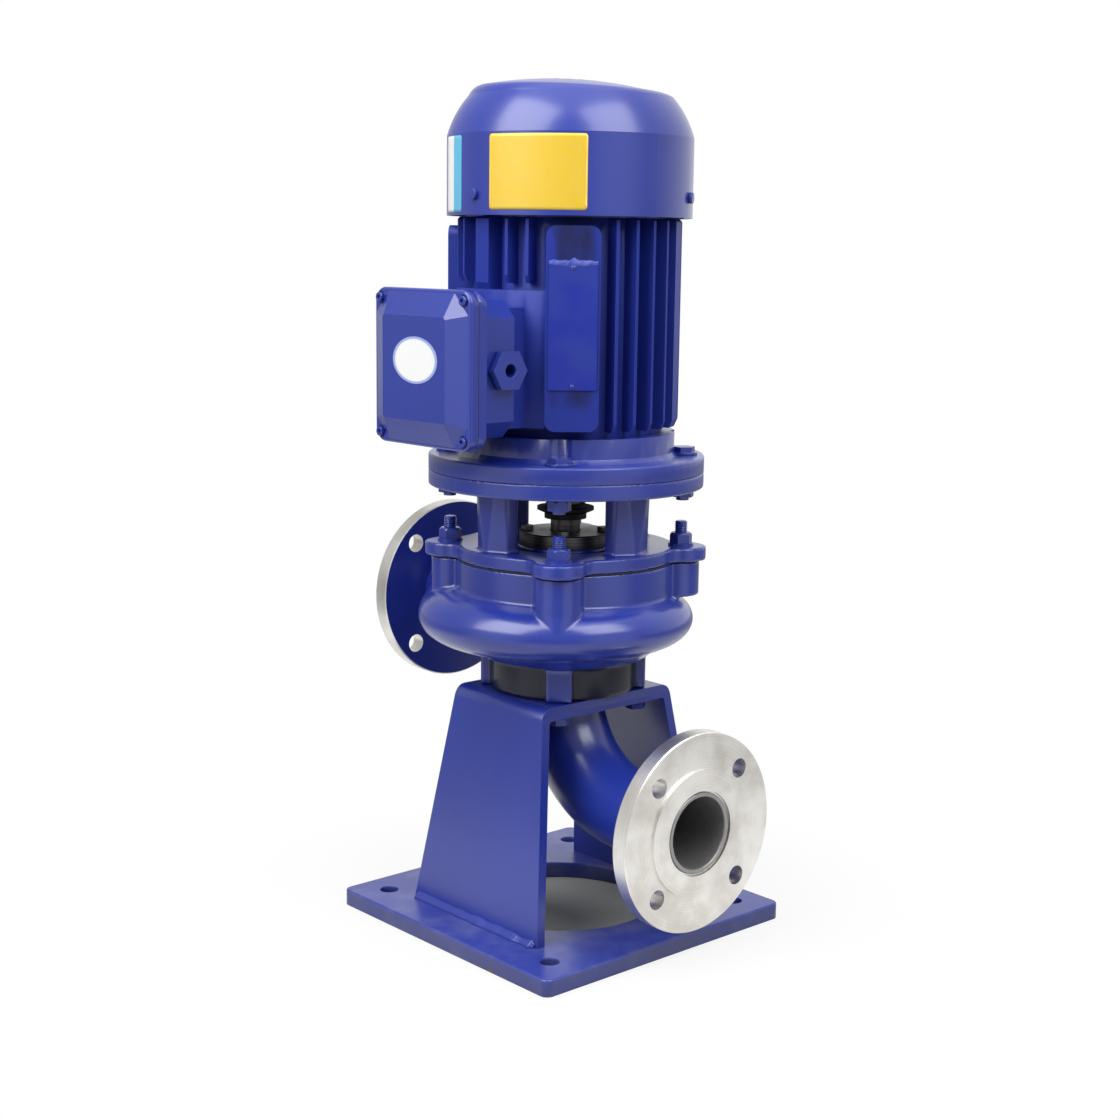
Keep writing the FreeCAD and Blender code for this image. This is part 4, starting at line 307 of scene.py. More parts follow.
def fill(tree, node, values):
    """Joins or sets several inputs of a node by their names."""
    for name, value in values.items():
        put(tree, node.inputs[name], value)


def object_place(tree):
    """The place on the piece in its own metres."""
    return tree.nodes.new("ShaderNodeTexCoord").outputs["Object"]


def split(tree, vector):
    """The three parts of a vector."""
    node = tree.nodes.new("ShaderNodeSeparateXYZ")
    put(tree, node.inputs[0], vector)
    return node.outputs


def calc(tree, operation, first, second=0.0):
    """One operation on a number or two, or on sockets."""
    node = tree.nodes.new("ShaderNodeMath")
    node.operation = operation
    put(tree, node.inputs[0], first)
    put(tree, node.inputs[1], second)
    return node.outputs[0]


def product(tree, first, *others):
    """Multiplies numbers or sockets."""
    for other in others:
        first = calc(tree, "MULTIPLY", first, other)
    return first


def hypotenuse(tree, first, second):
    """The square root of the sum of two squares."""
    squares = calc(tree, "ADD", product(tree, first, first), product(tree, second, second))
    return calc(tree, "SQRT", squares)


def distance_from(tree, where, axis, centre):
    """Distance from the line along an axis through a centre."""
    parts = split(tree, where)
    offsets = [calc(tree, "SUBTRACT", parts[side], centre[side]) for side in (X, Y, Z) if side != axis]
    return hypotenuse(tree, *offsets)


def cosine(tree, vector, direction):
    """The cosine of the angle between a unit vector and a direction."""
    node = tree.nodes.new("ShaderNodeVectorMath")
    node.operation = "DOT_PRODUCT"
    put(tree, node.inputs[0], vector)
    node.inputs[1].default_value = direction
    return node.outputs["Value"]


def step(tree, value, low, high):
    """0 up to low, 1 from high on, and smooth between. A low above high turns it round."""
    node = tree.nodes.new("ShaderNodeMapRange")
    node.interpolation_type = "SMOOTHSTEP"
    fill(tree, node, {"Value": value, "From Min": low, "From Max": high})
    return node.outputs["Result"]


def blend_value(tree, share, first, second):
    """Mixes two numbers."""
    node = tree.nodes.new("ShaderNodeMix")
    fill(tree, node, {"Factor": share, "A": first, "B": second})
    return node.outputs["Result"]


def blend_colour(tree, share, first, second):
    """Mixes two colours."""
    node = tree.nodes.new("ShaderNodeMix")
    node.data_type = "RGBA"
    fill(tree, node, {"Factor": share, "A": first, "B": second})
    return node.outputs["Result"]


def cloud(tree, where, lumps, detail=3.0, stretch=None):
    """Noise with that many lumps per metre. A stretch below 1 draws them out along its axis."""
    if stretch is not None:
        mapping = tree.nodes.new("ShaderNodeMapping")
        put(tree, mapping.inputs["Vector"], where)
        mapping.inputs["Scale"].default_value = stretch
        where = mapping.outputs[0]
    node = tree.nodes.new("ShaderNodeTexNoise")
    fill(tree, node, {"Vector": where, "Scale": lumps, "Detail": detail})
    return node.outputs["Fac"]


def raised(tree, height, depth, below=None):
    """A bumped normal from a height of 0 to 1, that many metres deep."""
    node = tree.nodes.new("ShaderNodeBump")
    fill(tree, node, {"Height": height, "Distance": depth})
    if below is not None:
        put(tree, node.inputs["Normal"], below)
    return node.outputs[0]


# Enamels

def enamel_colour(tree, where):
    """Blue enamel that is a little thicker in some places than in others."""
    patches = step(tree, cloud(tree, where, lumps=8.0, detail=0.0), 0.25, 0.75)
    runs = cloud(tree, where, lumps=40.0, detail=0.0, stretch=(1.0, 1.0, 0.3))
    main = blend_colour(tree, patches, BLUE_DEEP, BLUE_MAIN)
    return blend_colour(tree, product(tree, runs, RUNS_SHARE), main, BLUE_LIGHT)


def enamel_bump(tree, where, grain):
    """Orange peel of sprayed enamel over the grain of what it covers."""
    casting = raised(tree, cloud(tree, where, lumps=55.0, detail=2.0), CASTING_DEPTH * grain)
    return raised(tree, cloud(tree, where, lumps=260.0, detail=2.0), PEEL_DEPTH * grain, casting)


def enamel(name, grain, rough):
    """Sprayed blue enamel. Grain is how much of the casting below it shows."""
    made, tree, shader = new_material(name)
    where = object_place(tree)
    dull = cloud(tree, where, lumps=14.0, detail=0.0)
    fill(tree, shader, {
        "Base Color": enamel_colour(tree, where),
        "Roughness": blend_value(tree, dull, rough, rough + 0.10),
        "Coat Weight": COAT_WEIGHT,
        "Coat Roughness": COAT_ROUGHNESS,
    })
    if grain > 0.0:
        put(tree, shader.inputs["Normal"], enamel_bump(tree, where, grain))
    return made


def base_enamel():
    """The base plate's enamel: dusty, darker on its sides, with a faint rusty smudge in front."""
    made, tree, shader = new_material("base_enamel")
    where = object_place(tree)
    height = split(tree, where)[Z]
    dust = step(tree, cloud(tree, where, lumps=30.0, detail=4.0), 0.40, 0.75)
    dusty = blend_colour(tree, blend_value(tree, dust, *DUST_SHARES), enamel_colour(tree, where), DUST_GREY)
    # The base plate's sides are darkened evenly below the top edge
    side = step(tree, height, BASE_TOP - SIDE_DARKENING_START, BASE_TOP - SIDE_DARKENING_WHOLE)
    darker_sides = blend_colour(tree, product(tree, side, SIDE_DARKENING_SHARE), dusty, BLUE_DARKENING)
    low = step(tree, height, SMUDGE_TOP, SMUDGE_WHOLE)
    near = step(tree, distance_from(tree, where, Z, SMUDGE_PLACE), SMUDGE_FAR, SMUDGE_NEAR)
    spots = step(tree, cloud(tree, where, lumps=120.0, detail=5.0), 0.50, 0.64)
    worn = product(tree, spots, low, near)
    rust = blend_colour(tree, cloud(tree, where, lumps=600.0, detail=4.0), RUST_DARK, RUST_LIGHT)
    fill(tree, shader, {
        "Base Color": blend_colour(tree, worn, darker_sides, rust),
        "Roughness": blend_value(tree, worn, 0.38, 0.85),
        "Coat Weight": 0.30,
        "Coat Roughness": 0.22,
        "Normal": enamel_bump(tree, where, 0.35),
    })
    return made


def plate_enamel():
    """The plate on the pad: enamel laid on thick, of a deeper blue than the rest."""
    made, tree, shader = new_material("plate_enamel")
    where = object_place(tree)
    patches = step(tree, cloud(tree, where, lumps=30.0, detail=2.0), 0.3, 0.7)
    fill(tree, shader, {
        "Base Color": blend_colour(tree, patches, BLUE_PLATE, BLUE_MAIN),
        "Roughness": 0.30,
        "Coat Weight": 0.25,
        "Coat Roughness": 0.18,
        "Normal": enamel_bump(tree, where, 0.6),
    })
    return made


def crust_paint_highlight():
    """Paint that dried in crumbs along an edge, coloured lighter as a painted highlight."""
    made, tree, shader = new_material("crust_paint_highlight")
    where = object_place(tree)
    crumbs = step(tree, cloud(tree, where, lumps=160.0, detail=2.0), 0.30, 0.70)
    grain = cloud(tree, where, lumps=260.0, detail=2.0)
    fill(tree, shader, {
        # Painted highlight: the crumbs are a lighter blue than the enamel
        "Base Color": blend_colour(tree, crumbs, BLUE_LIGHT, CRUST_PAINTED_HIGHLIGHT),
        "Roughness": 0.62,
        "Normal": raised(tree, grain, 0.15 * MM),
    })
    return made


def stained_enamel(name, grain, rough):
    """The motor frame's enamel, with dark stains on the pad just above and below its plate."""
    made = enamel(name, grain, rough)
    tree = made.node_tree
    where = object_place(tree)
    height = split(tree, where)[Z]
    outward = plate_axes()[0]
    near = step(tree, distance_from(tree, where, Z, outward * PLATE_REACH), STAIN_FAR, STAIN_NEAR)
    low, high = PLATE_BOX[0].z, PLATE_BOX[1].z
    below = product(tree, step(tree, height, low - STAIN_BELOW, low - STAIN_FADE),
                    step(tree, height, low + STAIN_FADE, low))
    above = product(tree, step(tree, height, high, high + STAIN_ABOVE), STAIN_ABOVE_SHARE)
    region = product(tree, near, calc(tree, "MAXIMUM", below, above))
    smears = step(tree, cloud(tree, where, lumps=60.0, detail=2.0, stretch=(1.0, 1.0, 0.45)), 0.34, 0.66)
    share = product(tree, region, blend_value(tree, smears, *STAIN_SHARES))
    fill(tree, tree.nodes["Principled BSDF"], {
        "Base Color": blend_colour(tree, share, enamel_colour(tree, where), BLUE_DARKENING),
        "Specular IOR Level": 0.25,
        "Coat Weight": 0.10,
    })
    return made


def bore_share(tree, where, centre, reach):
    """1 in the straight bore along X, from its face in to a reach, and on the end of the pipe."""
    outward = product(tree, split(tree, where)[X], math.copysign(1.0, reach))
    radius = distance_from(tree, where, X, centre)
    bore = product(tree, calc(tree, "LESS_THAN", radius, PORT_RADIUS + BORE_MARGIN),
                   calc(tree, "GREATER_THAN", outward, abs(reach)))
    end = product(tree, calc(tree, "LESS_THAN", radius, PORT_RADIUS + PIPE_END_MARGIN),
                  calc(tree, "GREATER_THAN", outward, PIPE_END_REACH))
    return calc(tree, "MAXIMUM", bore, end)


def bend_share(tree, where, centre):
    """1 inside the pipe bend that joins the suction line to the axis of the pump."""
    middle = (ELBOW_BEND_RADIUS, 0.0, centre[Z] + ELBOW_BEND_RADIUS)
    off_line = calc(tree, "SUBTRACT", distance_from(tree, where, Y, middle), ELBOW_BEND_RADIUS)
    parts = split(tree, where)
    inside = calc(tree, "LESS_THAN", hypotenuse(tree, off_line, parts[Y]), PORT_RADIUS + BORE_MARGIN)
    return product(tree, inside, calc(tree, "LESS_THAN", parts[X], middle[X]),
                   calc(tree, "LESS_THAN", parts[Z], middle[Z]))


def skirt_shade_share(tree, where):
    """1 on the ring below the casing, between its feet, where shade is painted near black."""
    height = split(tree, where)[Z]
    radius = distance_from(tree, where, Z, ORIGIN)
    below = step(tree, height, SKIRT_TOP + SKIRT_FADE, SKIRT_TOP - SKIRT_FADE)
    within = step(tree, radius, SKIRT_RADIUS + SKIRT_OUTER_FADE, SKIRT_RADIUS + SKIRT_FADE)
    return product(tree, below, within)


def lined_enamel(name, rough, flange, reach):
    """Enamel with bare metal in the port. A reach above 0 is the elbow's and adds its bend, and one below 0
    is the casing's and adds painted shade, near black and less glossy, on its skirt."""
    made, tree, shader = new_material(name)
    where = object_place(tree)
    centre = port_centre(flange)
    blue = enamel_colour(tree, where)
    bare = bore_share(tree, where, centre, reach)
    if reach > 0.0:
        bare = calc(tree, "MAXIMUM", bare, bend_share(tree, where, centre))
    else:
        # Painted shade: the ring below the casing is coloured near black, with less gloss
        skirt = skirt_shade_share(tree, where)
        blue = blend_colour(tree, skirt, blue, SKIRT_PAINTED_SHADE)
        specular = blend_value(tree, skirt, ENAMEL_SPECULAR, SKIRT_SPECULAR)
        put(tree, shader.inputs["Specular IOR Level"], specular)
    metal = blend_colour(tree, cloud(tree, where, lumps=160.0, detail=5.0), BORE_GREY, BORE_LIGHT)
    fill(tree, shader, {
        "Base Color": blend_colour(tree, bare, blue, metal),
        "Metallic": product(tree, bare, 0.75),
        "Roughness": blend_value(tree, bare, rough, 0.46),
        "Coat Weight": blend_value(tree, bare, COAT_WEIGHT, 0.0),
        "Coat Roughness": COAT_ROUGHNESS,
        "Normal": enamel_bump(tree, where, 0.5),
    })
    return made


# Other materials

def turned_steel(name, tones, rough, axis=Z, centre=ORIGIN, painted_side=None):
    """Bare metal turned on a lathe about an axis, with an enamelled side where one is given."""
    made, tree, shader = new_material(name)
    where = object_place(tree)
    parts = split(tree, where)
    radius = distance_from(tree, where, axis, centre)
    track = tree.nodes.new("ShaderNodeCombineXYZ")
    put(tree, track.inputs[0], calc(tree, "ADD", radius, product(tree, parts[axis], LATHE_DRIFT)))
    rings = cloud(tree, track.outputs[0], lumps=900.0, detail=4.0)
    broad = cloud(tree, track.outputs[0], lumps=120.0, detail=2.0)
    smear = cloud(tree, where, lumps=30.0)
    share = calc(tree, "ADD", product(tree, rings, 0.40), product(tree, smear, 0.60))
    light, dark = tones
    colour = blend_colour(tree, step(tree, share, 0.34, 0.66), dark, light)
    metal_rough = blend_value(tree, broad, rough - 0.05, rough + 0.07)
    metallic = 1.0
    if painted_side is not None:
        edge, outer = painted_side
        paint = product(tree, calc(tree, "GREATER_THAN", parts[axis], edge),
                        calc(tree, "LESS_THAN", radius, outer))
        colour = blend_colour(tree, paint, colour, enamel_colour(tree, where))
        metal_rough = blend_value(tree, paint, metal_rough, 0.30)
        metallic = calc(tree, "SUBTRACT", 1.0, paint)
    tangent = tree.nodes.new("ShaderNodeTangent")
    tangent.direction_type = "RADIAL"
    tangent.axis = "XYZ"[axis]
    fill(tree, shader, {
        "Base Color": colour,
        "Metallic": metallic,
        "Roughness": metal_rough,
        "Anisotropic": 0.45,
        "Tangent": tangent.outputs[0],
        "Normal": raised(tree, broad, BAND_DEPTH, raised(tree, rings, GROOVE_DEPTH)),
    })
    return made


def plain(name, tones, lumps, rough, metallic=0.0, depth=0.1 * MM, stretch=None, coat=0.0):
    """A surface of two near colours with a grain of its own."""
    made, tree, shader = new_material(name)
    light, dark = tones
    grain = cloud(tree, object_place(tree), lumps, 5.0, stretch)
    fill(tree, shader, {
        "Base Color": blend_colour(tree, step(tree, grain, 0.3, 0.7), dark, light),
        "Metallic": metallic,
        "Roughness": blend_value(tree, grain, rough - 0.08, rough + 0.08),
        "Coat Weight": coat,
        "Normal": raised(tree, grain, depth),
    })
    return made


def label_paper(name, main, other, other_share):
    """Coated paper with faint wrinkles. other_share is a function: 1 where the other colour is."""
    made, tree, shader = new_material(name)
    where = object_place(tree)
    paper = blend_colour(tree, other_share(tree, where), main, other)
    mottled = cloud(tree, where, lumps=130.0)
    wrinkles = cloud(tree, where, lumps=45.0, detail=4.0)
    fill(tree, shader, {
        "Base Color": blend_colour(tree, product(tree, mottled, AGE_SHARE), paper, LABEL_AGE),
        "Roughness": 0.42,
        "Coat Weight": 0.35,
        "Coat Roughness": 0.25,
        "Normal": raised(tree, wrinkles, 0.22 * MM),
    })
    return made


def yellow_border(tree, where):
    """1 in a border just inside the yellow label's top and bottom edges."""
    height = split(tree, where)[Z]
    low, high = YELLOW_LABEL_HEIGHTS
    top = step(tree, height, high - YELLOW_BORDER_END, high - YELLOW_BORDER_WHOLE)
    bottom = step(tree, height, low + YELLOW_BORDER_END, low + YELLOW_BORDER_WHOLE)
    return calc(tree, "MAXIMUM", top, bottom)


def white_side(tree, where):
    """1 on the white side of the blue label, 0 on the cyan side by the screw."""
    parting = COWL_RADIUS * math.cos(math.radians(BLUE_LABEL_PARTING))
    return step(tree, split(tree, where)[X], parting + BLUE_LABEL_FADE, parting)


def sticker_ring(tree, where):
    """1 in the halo round the sticker's rim."""
    parts = split(tree, where)
    middle_x, middle_z = STICKER_CENTRE
    across = calc(tree, "DIVIDE", calc(tree, "SUBTRACT", parts[X], middle_x), STICKER_HALF_WIDTH)
    up = calc(tree, "DIVIDE", calc(tree, "SUBTRACT", parts[Z], middle_z), STICKER_HALF_HEIGHT)
    return step(tree, hypotenuse(tree, across, up), 1.0 - STICKER_RIM, 1.0 - STICKER_RIM / 2.0)


def flange_steel(name, flange, painted_side=None):
    """The bare turned steel of a pipe flange."""
    return turned_steel(name, FLANGE_TONES, 0.36, X, port_centre(flange), painted_side)


def painted_back():
    """Where the back of the discharge flange is painted: beyond an X and within a radius."""
    radius = (DISCHARGE_FLANGE[1].z - DISCHARGE_FLANGE[0].z) / 2.0
    return DISCHARGE_FLANGE[1].x - FLANGE_BACK_INSET, radius - FLANGE_RIM_INSET


def node_materials(cast, machined, sheet):
    """The materials of the nodes that differ from their slot's."""
    return {
        "base_plate": base_enamel(),
        "stand_frame": sheet,
        "stand_weld_beads": machined,
        "suction_elbow": lined_enamel("elbow_enamel", 0.28, SUCTION_FLANGE, ELBOW_BORE_REACH),
        "volute_casing": lined_enamel("casing_enamel", 0.27, DISCHARGE_FLANGE, CASING_BORE_REACH),
        "lantern_bracket": cast,
        "drive_end_shield": machined,
        "motor_frame": stained_enamel("frame_enamel", 0.45, 0.50),
        "top_shield": machined,
        "terminal_box_base": cast,
        "terminal_box_lid": machined,
        "fan_cowl": sheet,
        "suction_flange": flange_steel("suction_flange_steel", SUCTION_FLANGE),
        "discharge_flange": flange_steel("discharge_flange_steel", DISCHARGE_FLANGE, painted_back()),
        "rating_plate_blank": plate_enamel(),
    }


def slot_materials(machined, small):
    """The material of each of the record's slots."""
    return {
        "blue_enamel": small,
        "plate_aluminium": machined,
        "bare_flange_steel": small,
        "turned_steel": turned_steel("shaft_steel", SHAFT_TONES, 0.40),
        "bearing_steel": turned_steel("bearing_steel", BEARING_TONES, 0.20),
        "bronze": turned_steel("ring_bronze", BRONZE_TONES, 0.34),
        "cage_brass": plain("cage_brass", CAGE_TONES, lumps=260.0, rough=0.32, metallic=1.0,
                            depth=0.03 * MM),
        "terminal_brass": plain("terminal_brass", TERMINAL_TONES, lumps=340.0, rough=0.30, metallic=1.0,
                                depth=0.03 * MM),
        "winding_copper": plain("winding_copper", COPPER_TONES, lumps=900.0, rough=0.30, metallic=0.7,
                                depth=0.5 * MM, stretch=(1.0, 1.0, 0.2), coat=0.6),
        "spring_steel": plain("spring_steel", SPRING_TONES, lumps=300.0, rough=0.28, metallic=1.0,
                              depth=0.02 * MM),
        "core_steel": plain("core_sheets", CORE_TONES, lumps=1400.0, rough=0.50, metallic=0.8,
                            depth=0.12 * MM, stretch=(0.02, 0.02, 1.0)),
        "grey_iron": plain("casting_iron", IRON_TONES, lumps=420.0, rough=0.62, metallic=0.5,
                           depth=0.35 * MM),
        "seal_ceramic": plain("seal_ceramic", CERAMIC_TONES, lumps=60.0, rough=0.18, depth=0.01 * MM,
                              coat=0.5),
        "seal_carbon": plain("seal_carbon", CARBON_TONES, lumps=600.0, rough=0.36),
        "black_gasket": plain("gasket_rubber", GASKET_TONES, lumps=900.0, rough=0.75),
        "seal_rubber": plain("slinger_rubber", SLINGER_TONES, lumps=500.0, rough=0.66),
        "fan_plastic": plain("fan_plastic", FAN_TONES, lumps=300.0, rough=0.48),
        "board_plastic": plain("board_plastic", BOARD_TONES, lumps=240.0, rough=0.42),
    }


def dress_nodes(by_node, by_slot):
    """Gives every node of the part its material."""
    slots = {row["node"]: row["material_slot"] for row in frame["record"]["subparts"]}
    for name, node in frame["nodes"].items():
        made = by_node.get(name, by_slot[slots[name]])
        for place in node.material_slots:
            place.material = made


# Softer edges

def soften(name, width):
    """Rounds a node's edges, as enamel does."""
    node = frame["nodes"][name]
    join = node.modifiers.new("join", "WELD")
    join.merge_threshold = SAME_PLACE
    flat = node.modifiers.new("flat", "DECIMATE")
    flat.decimate_type = "DISSOLVE"
    flat.angle_limit = math.radians(FLAT_ANGLE)
    round_edge = node.modifiers.new("round", "BEVEL")
    round_edge.width = width
    round_edge.segments = 2
    round_edge.limit_method = "ANGLE"
    round_edge.angle_limit = math.radians(EDGE_ANGLE)
    round_edge.harden_normals = True


def cast_round(name, rounds):
    """Turns a node's sharp inner and outer corners into the fillets of a casting."""
    node = frame["nodes"][name]
    remesh = node.modifiers.new("cast", "REMESH")
    remesh.mode = "VOXEL"
    remesh.voxel_size = CASTING_VOXEL
    remesh.use_smooth_shade = True
    smooth = node.modifiers.new("smooth", "SMOOTH")
    smooth.factor = 0.5
    smooth.iterations = rounds


def soften_nodes():
    """Rounds the edges of the nodes that show."""
    for name in LARGE_PIECES:
        soften(name, LARGE_EDGE)
    for name in SMALL_PIECES:
        soften(name, SMALL_EDGE)
    for name, rounds in CASTING_ROUNDS.items():
        cast_round(name, rounds)


# Pieces made here

def finished(name, mesh, material, body):
    """Makes a piece from a bmesh, rides it on its body and returns it."""
    data = bpy.data.meshes.new(name)
    mesh.to_mesh(data)
    mesh.free()
    data.materials.append(material)
    piece = bpy.data.objects.new(name, data)
    bpy.context.scene.collection.objects.link(piece)
    for face in data.polygons:
        face.use_smooth = True
    data.set_sharp_from_angle(angle=math.radians(SHADE_ANGLE))
    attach(piece, body)
    return piece


def sheet_of(columns, rows, place_at):
    """A sheet of faces. place_at gives the place of a point for a u and a v from -1 to 1."""
    mesh = bmesh.new()
    grid = []
    for row in range(rows + 1):
        v = 2.0 * row / rows - 1.0
        spots = [place_at(2.0 * column / columns - 1.0, v) for column in range(columns + 1)]
        grid.append([mesh.verts.new(spot) for spot in spots])
    for lower, upper in zip(grid, grid[1:]):
        for column in range(columns):
            mesh.faces.new((lower[column], lower[column + 1], upper[column + 1], upper[column]))
    return mesh


def add_tube(mesh, outlines):
    """Adds a closed tube through outlines of equally many points, with a face on each end."""
    rings = [[mesh.verts.new(place) for place in outline] for outline in outlines]
    count = len(rings[0])
    for before, after in zip(rings, rings[1:]):
        for index in range(count):
            following = (index + 1) % count
            mesh.faces.new((before[index], after[index], after[following], before[following]))
    mesh.faces.new(rings[0])
    mesh.faces.new(rings[-1][::-1])


def rounded(u, v, half_width, half_height, corner):
    """Pulls a point of a rectangle's corner in to its rounded corner."""
    over_u = max(abs(u) - (half_width - corner), 0.0)
    over_v = max(abs(v) - (half_height - corner), 0.0)
    reach = math.hypot(over_u, over_v)
    if reach > corner:
        u = math.copysign(half_width - corner + over_u * corner / reach, u)
        v = math.copysign(half_height - corner + over_v * corner / reach, v)
    return u, v


def curved_label(name, angles, heights, material):
    """A thin label laid round the cowl, with rounded corners."""
    first, last = (math.radians(angle) for angle in angles)
    low, high = heights
    radius = COWL_RADIUS + LABEL_GAP
    half_width = (last - first) / 2.0 * COWL_RADIUS
    half_height = (high - low) / 2.0

    def place_at(u, v):
        aside, up = rounded(u * half_width, v * half_height, half_width, half_height, LABEL_CORNER)
        turn = (first + last) / 2.0 + aside / COWL_RADIUS
        return radius * math.cos(turn), radius * math.sin(turn), (low + high) / 2.0 + up

    mesh = sheet_of(columns=48, rows=24, place_at=place_at)
    piece = finished(name, mesh, material, "pump")
    thick = piece.modifiers.new("thick", "SOLIDIFY")
    thick.thickness = LABEL_THICKNESS
    thick.offset = 1.0


def oval_sticker(material):
    """The blank oval sticker on the lid."""
    mesh = bmesh.new()
    bmesh.ops.create_cone(mesh, cap_ends=True, segments=96, radius1=1.0, radius2=0.995,
                          depth=2.0 * LABEL_THICKNESS)
    size = Matrix.Diagonal((STICKER_HALF_WIDTH, STICKER_HALF_HEIGHT, 1.0, 1.0))
    turn = Matrix.Rotation(math.radians(90.0), 4, "X")
    place = Matrix.Translation((STICKER_CENTRE[0], LID_FRONT - LABEL_THICKNESS, STICKER_CENTRE[1]))
    bmesh.ops.transform(mesh, matrix=place @ turn @ size, verts=mesh.verts)
    finished("lid_sticker_blank", mesh, material, "pump")


def plate_rivets(material):
    """Two small rivets that hold the plate on its pad, painted over with it."""
    outward = plate_axes()[0]
    face = plate_face()[0]
    flat = Matrix.Diagonal((RIVET_FLATNESS, 1.0, 1.0, 1.0))
    spin = Matrix.Rotation(math.radians(PLATE_ANGLE), 4, "Z")
    mesh = bmesh.new()
    for height in (PLATE_BOX[0].z + RIVET_INSET, PLATE_BOX[1].z - RIVET_INSET):
        made = bmesh.ops.create_uvsphere(mesh, u_segments=20, v_segments=12, radius=RIVET_RADIUS)
        place = Matrix.Translation(outward * face + Vector((0.0, 0.0, height)))
        bmesh.ops.transform(mesh, matrix=place @ spin @ flat, verts=made["verts"])
    finished("plate_rivets", mesh, material, "pump")


def paint_crust(material):
    """A ragged ridge of dried paint along the plate's upper edge."""
    outward, along = plate_axes()
    face, half_width = plate_face()

    def place_at(u, v):
        # Coarse lumps with finer ones on them, and one place where the paint stands higher
        rough = lattice_noise(Vector((u * 6.0, v * 1.5, 0.0)))
        rough += 0.4 * lattice_noise(Vector((u * 15.0, v * 2.0, 5.0)))
        peak = 1.0 + 0.4 * math.exp(-((u - 0.06) / 0.20) ** 2)
        rise = CRUST_MIDDLE + v * (CRUST_HALF_HEIGHT + CRUST_RAGGEDNESS * rough) * peak
        swell = math.sqrt(max(0.0, 1.0 - v * v) * max(0.0, 1.0 - u ** 8))
        depth = face - CRUST_ROOT + (CRUST_SWELL + CRUST_BUMPS * rough) * swell
        return outward * depth + along * (u * half_width) + Vector((0.0, 0.0, PLATE_BOX[1].z + rise))

    mesh = sheet_of(columns=120, rows=14, place_at=place_at)
    finished("plate_paint_crust", mesh, material, "pump")


def bead_outline(side, x, share, leg):
    """The outline of one slice of a weld bead, from the plate up to the stand's side."""
    around = 12
    # Ripples of uneven pitch on a bead that slowly swells, wanders and tapers at its ends
    waves = 2.0 * math.pi * x / WELD_RIPPLE_PITCH + 4.0 * lattice_noise(Vector((x * 50.0, side, 0.0)))
    ripple = 0.5 + 0.5 * math.sin(waves)
    swell = 1.0 + WELD_SWELL * lattice_noise(Vector((x * 48.0, side * 3.0, 1.0))) + WELD_RIPPLE * ripple
    wander = WELD_WANDER * lattice_noise(Vector((x * 30.0, side * 5.0, 2.0)))
    taper = min(1.0, 0.45 + 30.0 * min(share, 1.0 - share))
    outline = []
    for index in range(around + 1):
        turn = math.radians(90.0) * index / around
        bulge = 0.70 + 0.16 * math.sin(2.0 * turn) + 0.24 * abs(math.cos(2.0 * turn)) ** 1.5
        reach = leg * swell * taper * bulge
        out = reach * math.cos(turn)
        up = (reach + wander) * math.sin(turn)
        outline.append((x, side * (STAND_SIDE + out - STAND_LEAN * up), BASE_TOP + up))
    outline.append((x, side * (STAND_SIDE - WELD_ROOT_DEPTH), BASE_TOP + WELD_ROOT_HEIGHT))
    return outline


def weld_beads(material):
    """Rippled fillet welds along the feet of the stand, in place of the plain ones."""
    leg = WELD_BOX[1].z - WELD_BOX[0].z
    half_length = WELD_BOX[1].x
    slices = 260
    mesh = bmesh.new()
    for side in (-1, 1):
        outlines = []
        for index in range(slices + 1):
            share = index / slices
            x = -half_length + 2.0 * half_length * share
            outlines.append(bead_outline(side, x, share, leg))
        add_tube(mesh, outlines)
    bmesh.ops.recalc_face_normals(mesh, faces=mesh.faces)
    piece = finished("weld_bead_ripples", mesh, material, "pump")
    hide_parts("stand_weld_beads")


def thread_reach(level, height, share):
    """Radius of a stud at a height and a share of a turn, with its chamfered tip."""
    reach = STUD_RADIUS
    if level > height - THREAD_LENGTH:
        phase = (level / THREAD_PITCH - share) % 1.0
        reach = STUD_RADIUS - THREAD_DEPTH * abs(2.0 * phase - 1.0) ** 1.3
    tip = max(0.0, level - (height - STUD_CHAMFER))
    return min(reach, STUD_RADIUS - tip)


def stud_outline(centre, level, height):
    """The outline of one slice of a stud, at a level above its foot."""
    around = 40
    outline = []
    for index in range(around):
        angle = 2.0 * math.pi * index / around
        reach = thread_reach(level, height, index / around)
        outline.append(centre + Vector((reach * math.cos(angle), reach * math.sin(angle), level)))
    return outline


def threaded_studs(material):
    """Casing studs with cut threads on their tips, in place of the plain ones."""
    low, high = STUD_BOX
    height = high.z - low.z
    start = height - THREAD_LENGTH
    count = int((height - start) / THREAD_SLICE)
    levels = [0.0] + [start + (height - start) * index / count for index in range(count + 1)]
    mesh = bmesh.new()
    for side_x, side_y in ((1, 1), (-1, 1), (-1, -1), (1, -1)):
        centre = Vector((side_x * (high.x - STUD_RADIUS), side_y * (high.y - STUD_RADIUS), low.z))
        add_tube(mesh, [stud_outline(centre, level, height) for level in levels])
    bmesh.ops.recalc_face_normals(mesh, faces=mesh.faces)
    piece = finished("stud_threads", mesh, material, "pump")
    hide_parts("casing_studs")


def labels():
    """The blank labels on the cowl and the sticker on the lid."""
    yellow = label_paper("yellow_paper", LABEL_YELLOW, LABEL_YELLOW_EDGE, yellow_border)
    curved_label("cowl_label_yellow_blank", YELLOW_LABEL_ANGLES, YELLOW_LABEL_HEIGHTS, yellow)
    cyan = label_paper("cyan_paper", LABEL_CYAN, LABEL_WHITE, white_side)
    curved_label("cowl_label_blue_blank", BLUE_LABEL_ANGLES, BLUE_LABEL_HEIGHTS, cyan)
    oval_sticker(label_paper("sticker_paper", LABEL_WHITE, STICKER_HALO, sticker_ring))


# Floor, room, lamps and camera

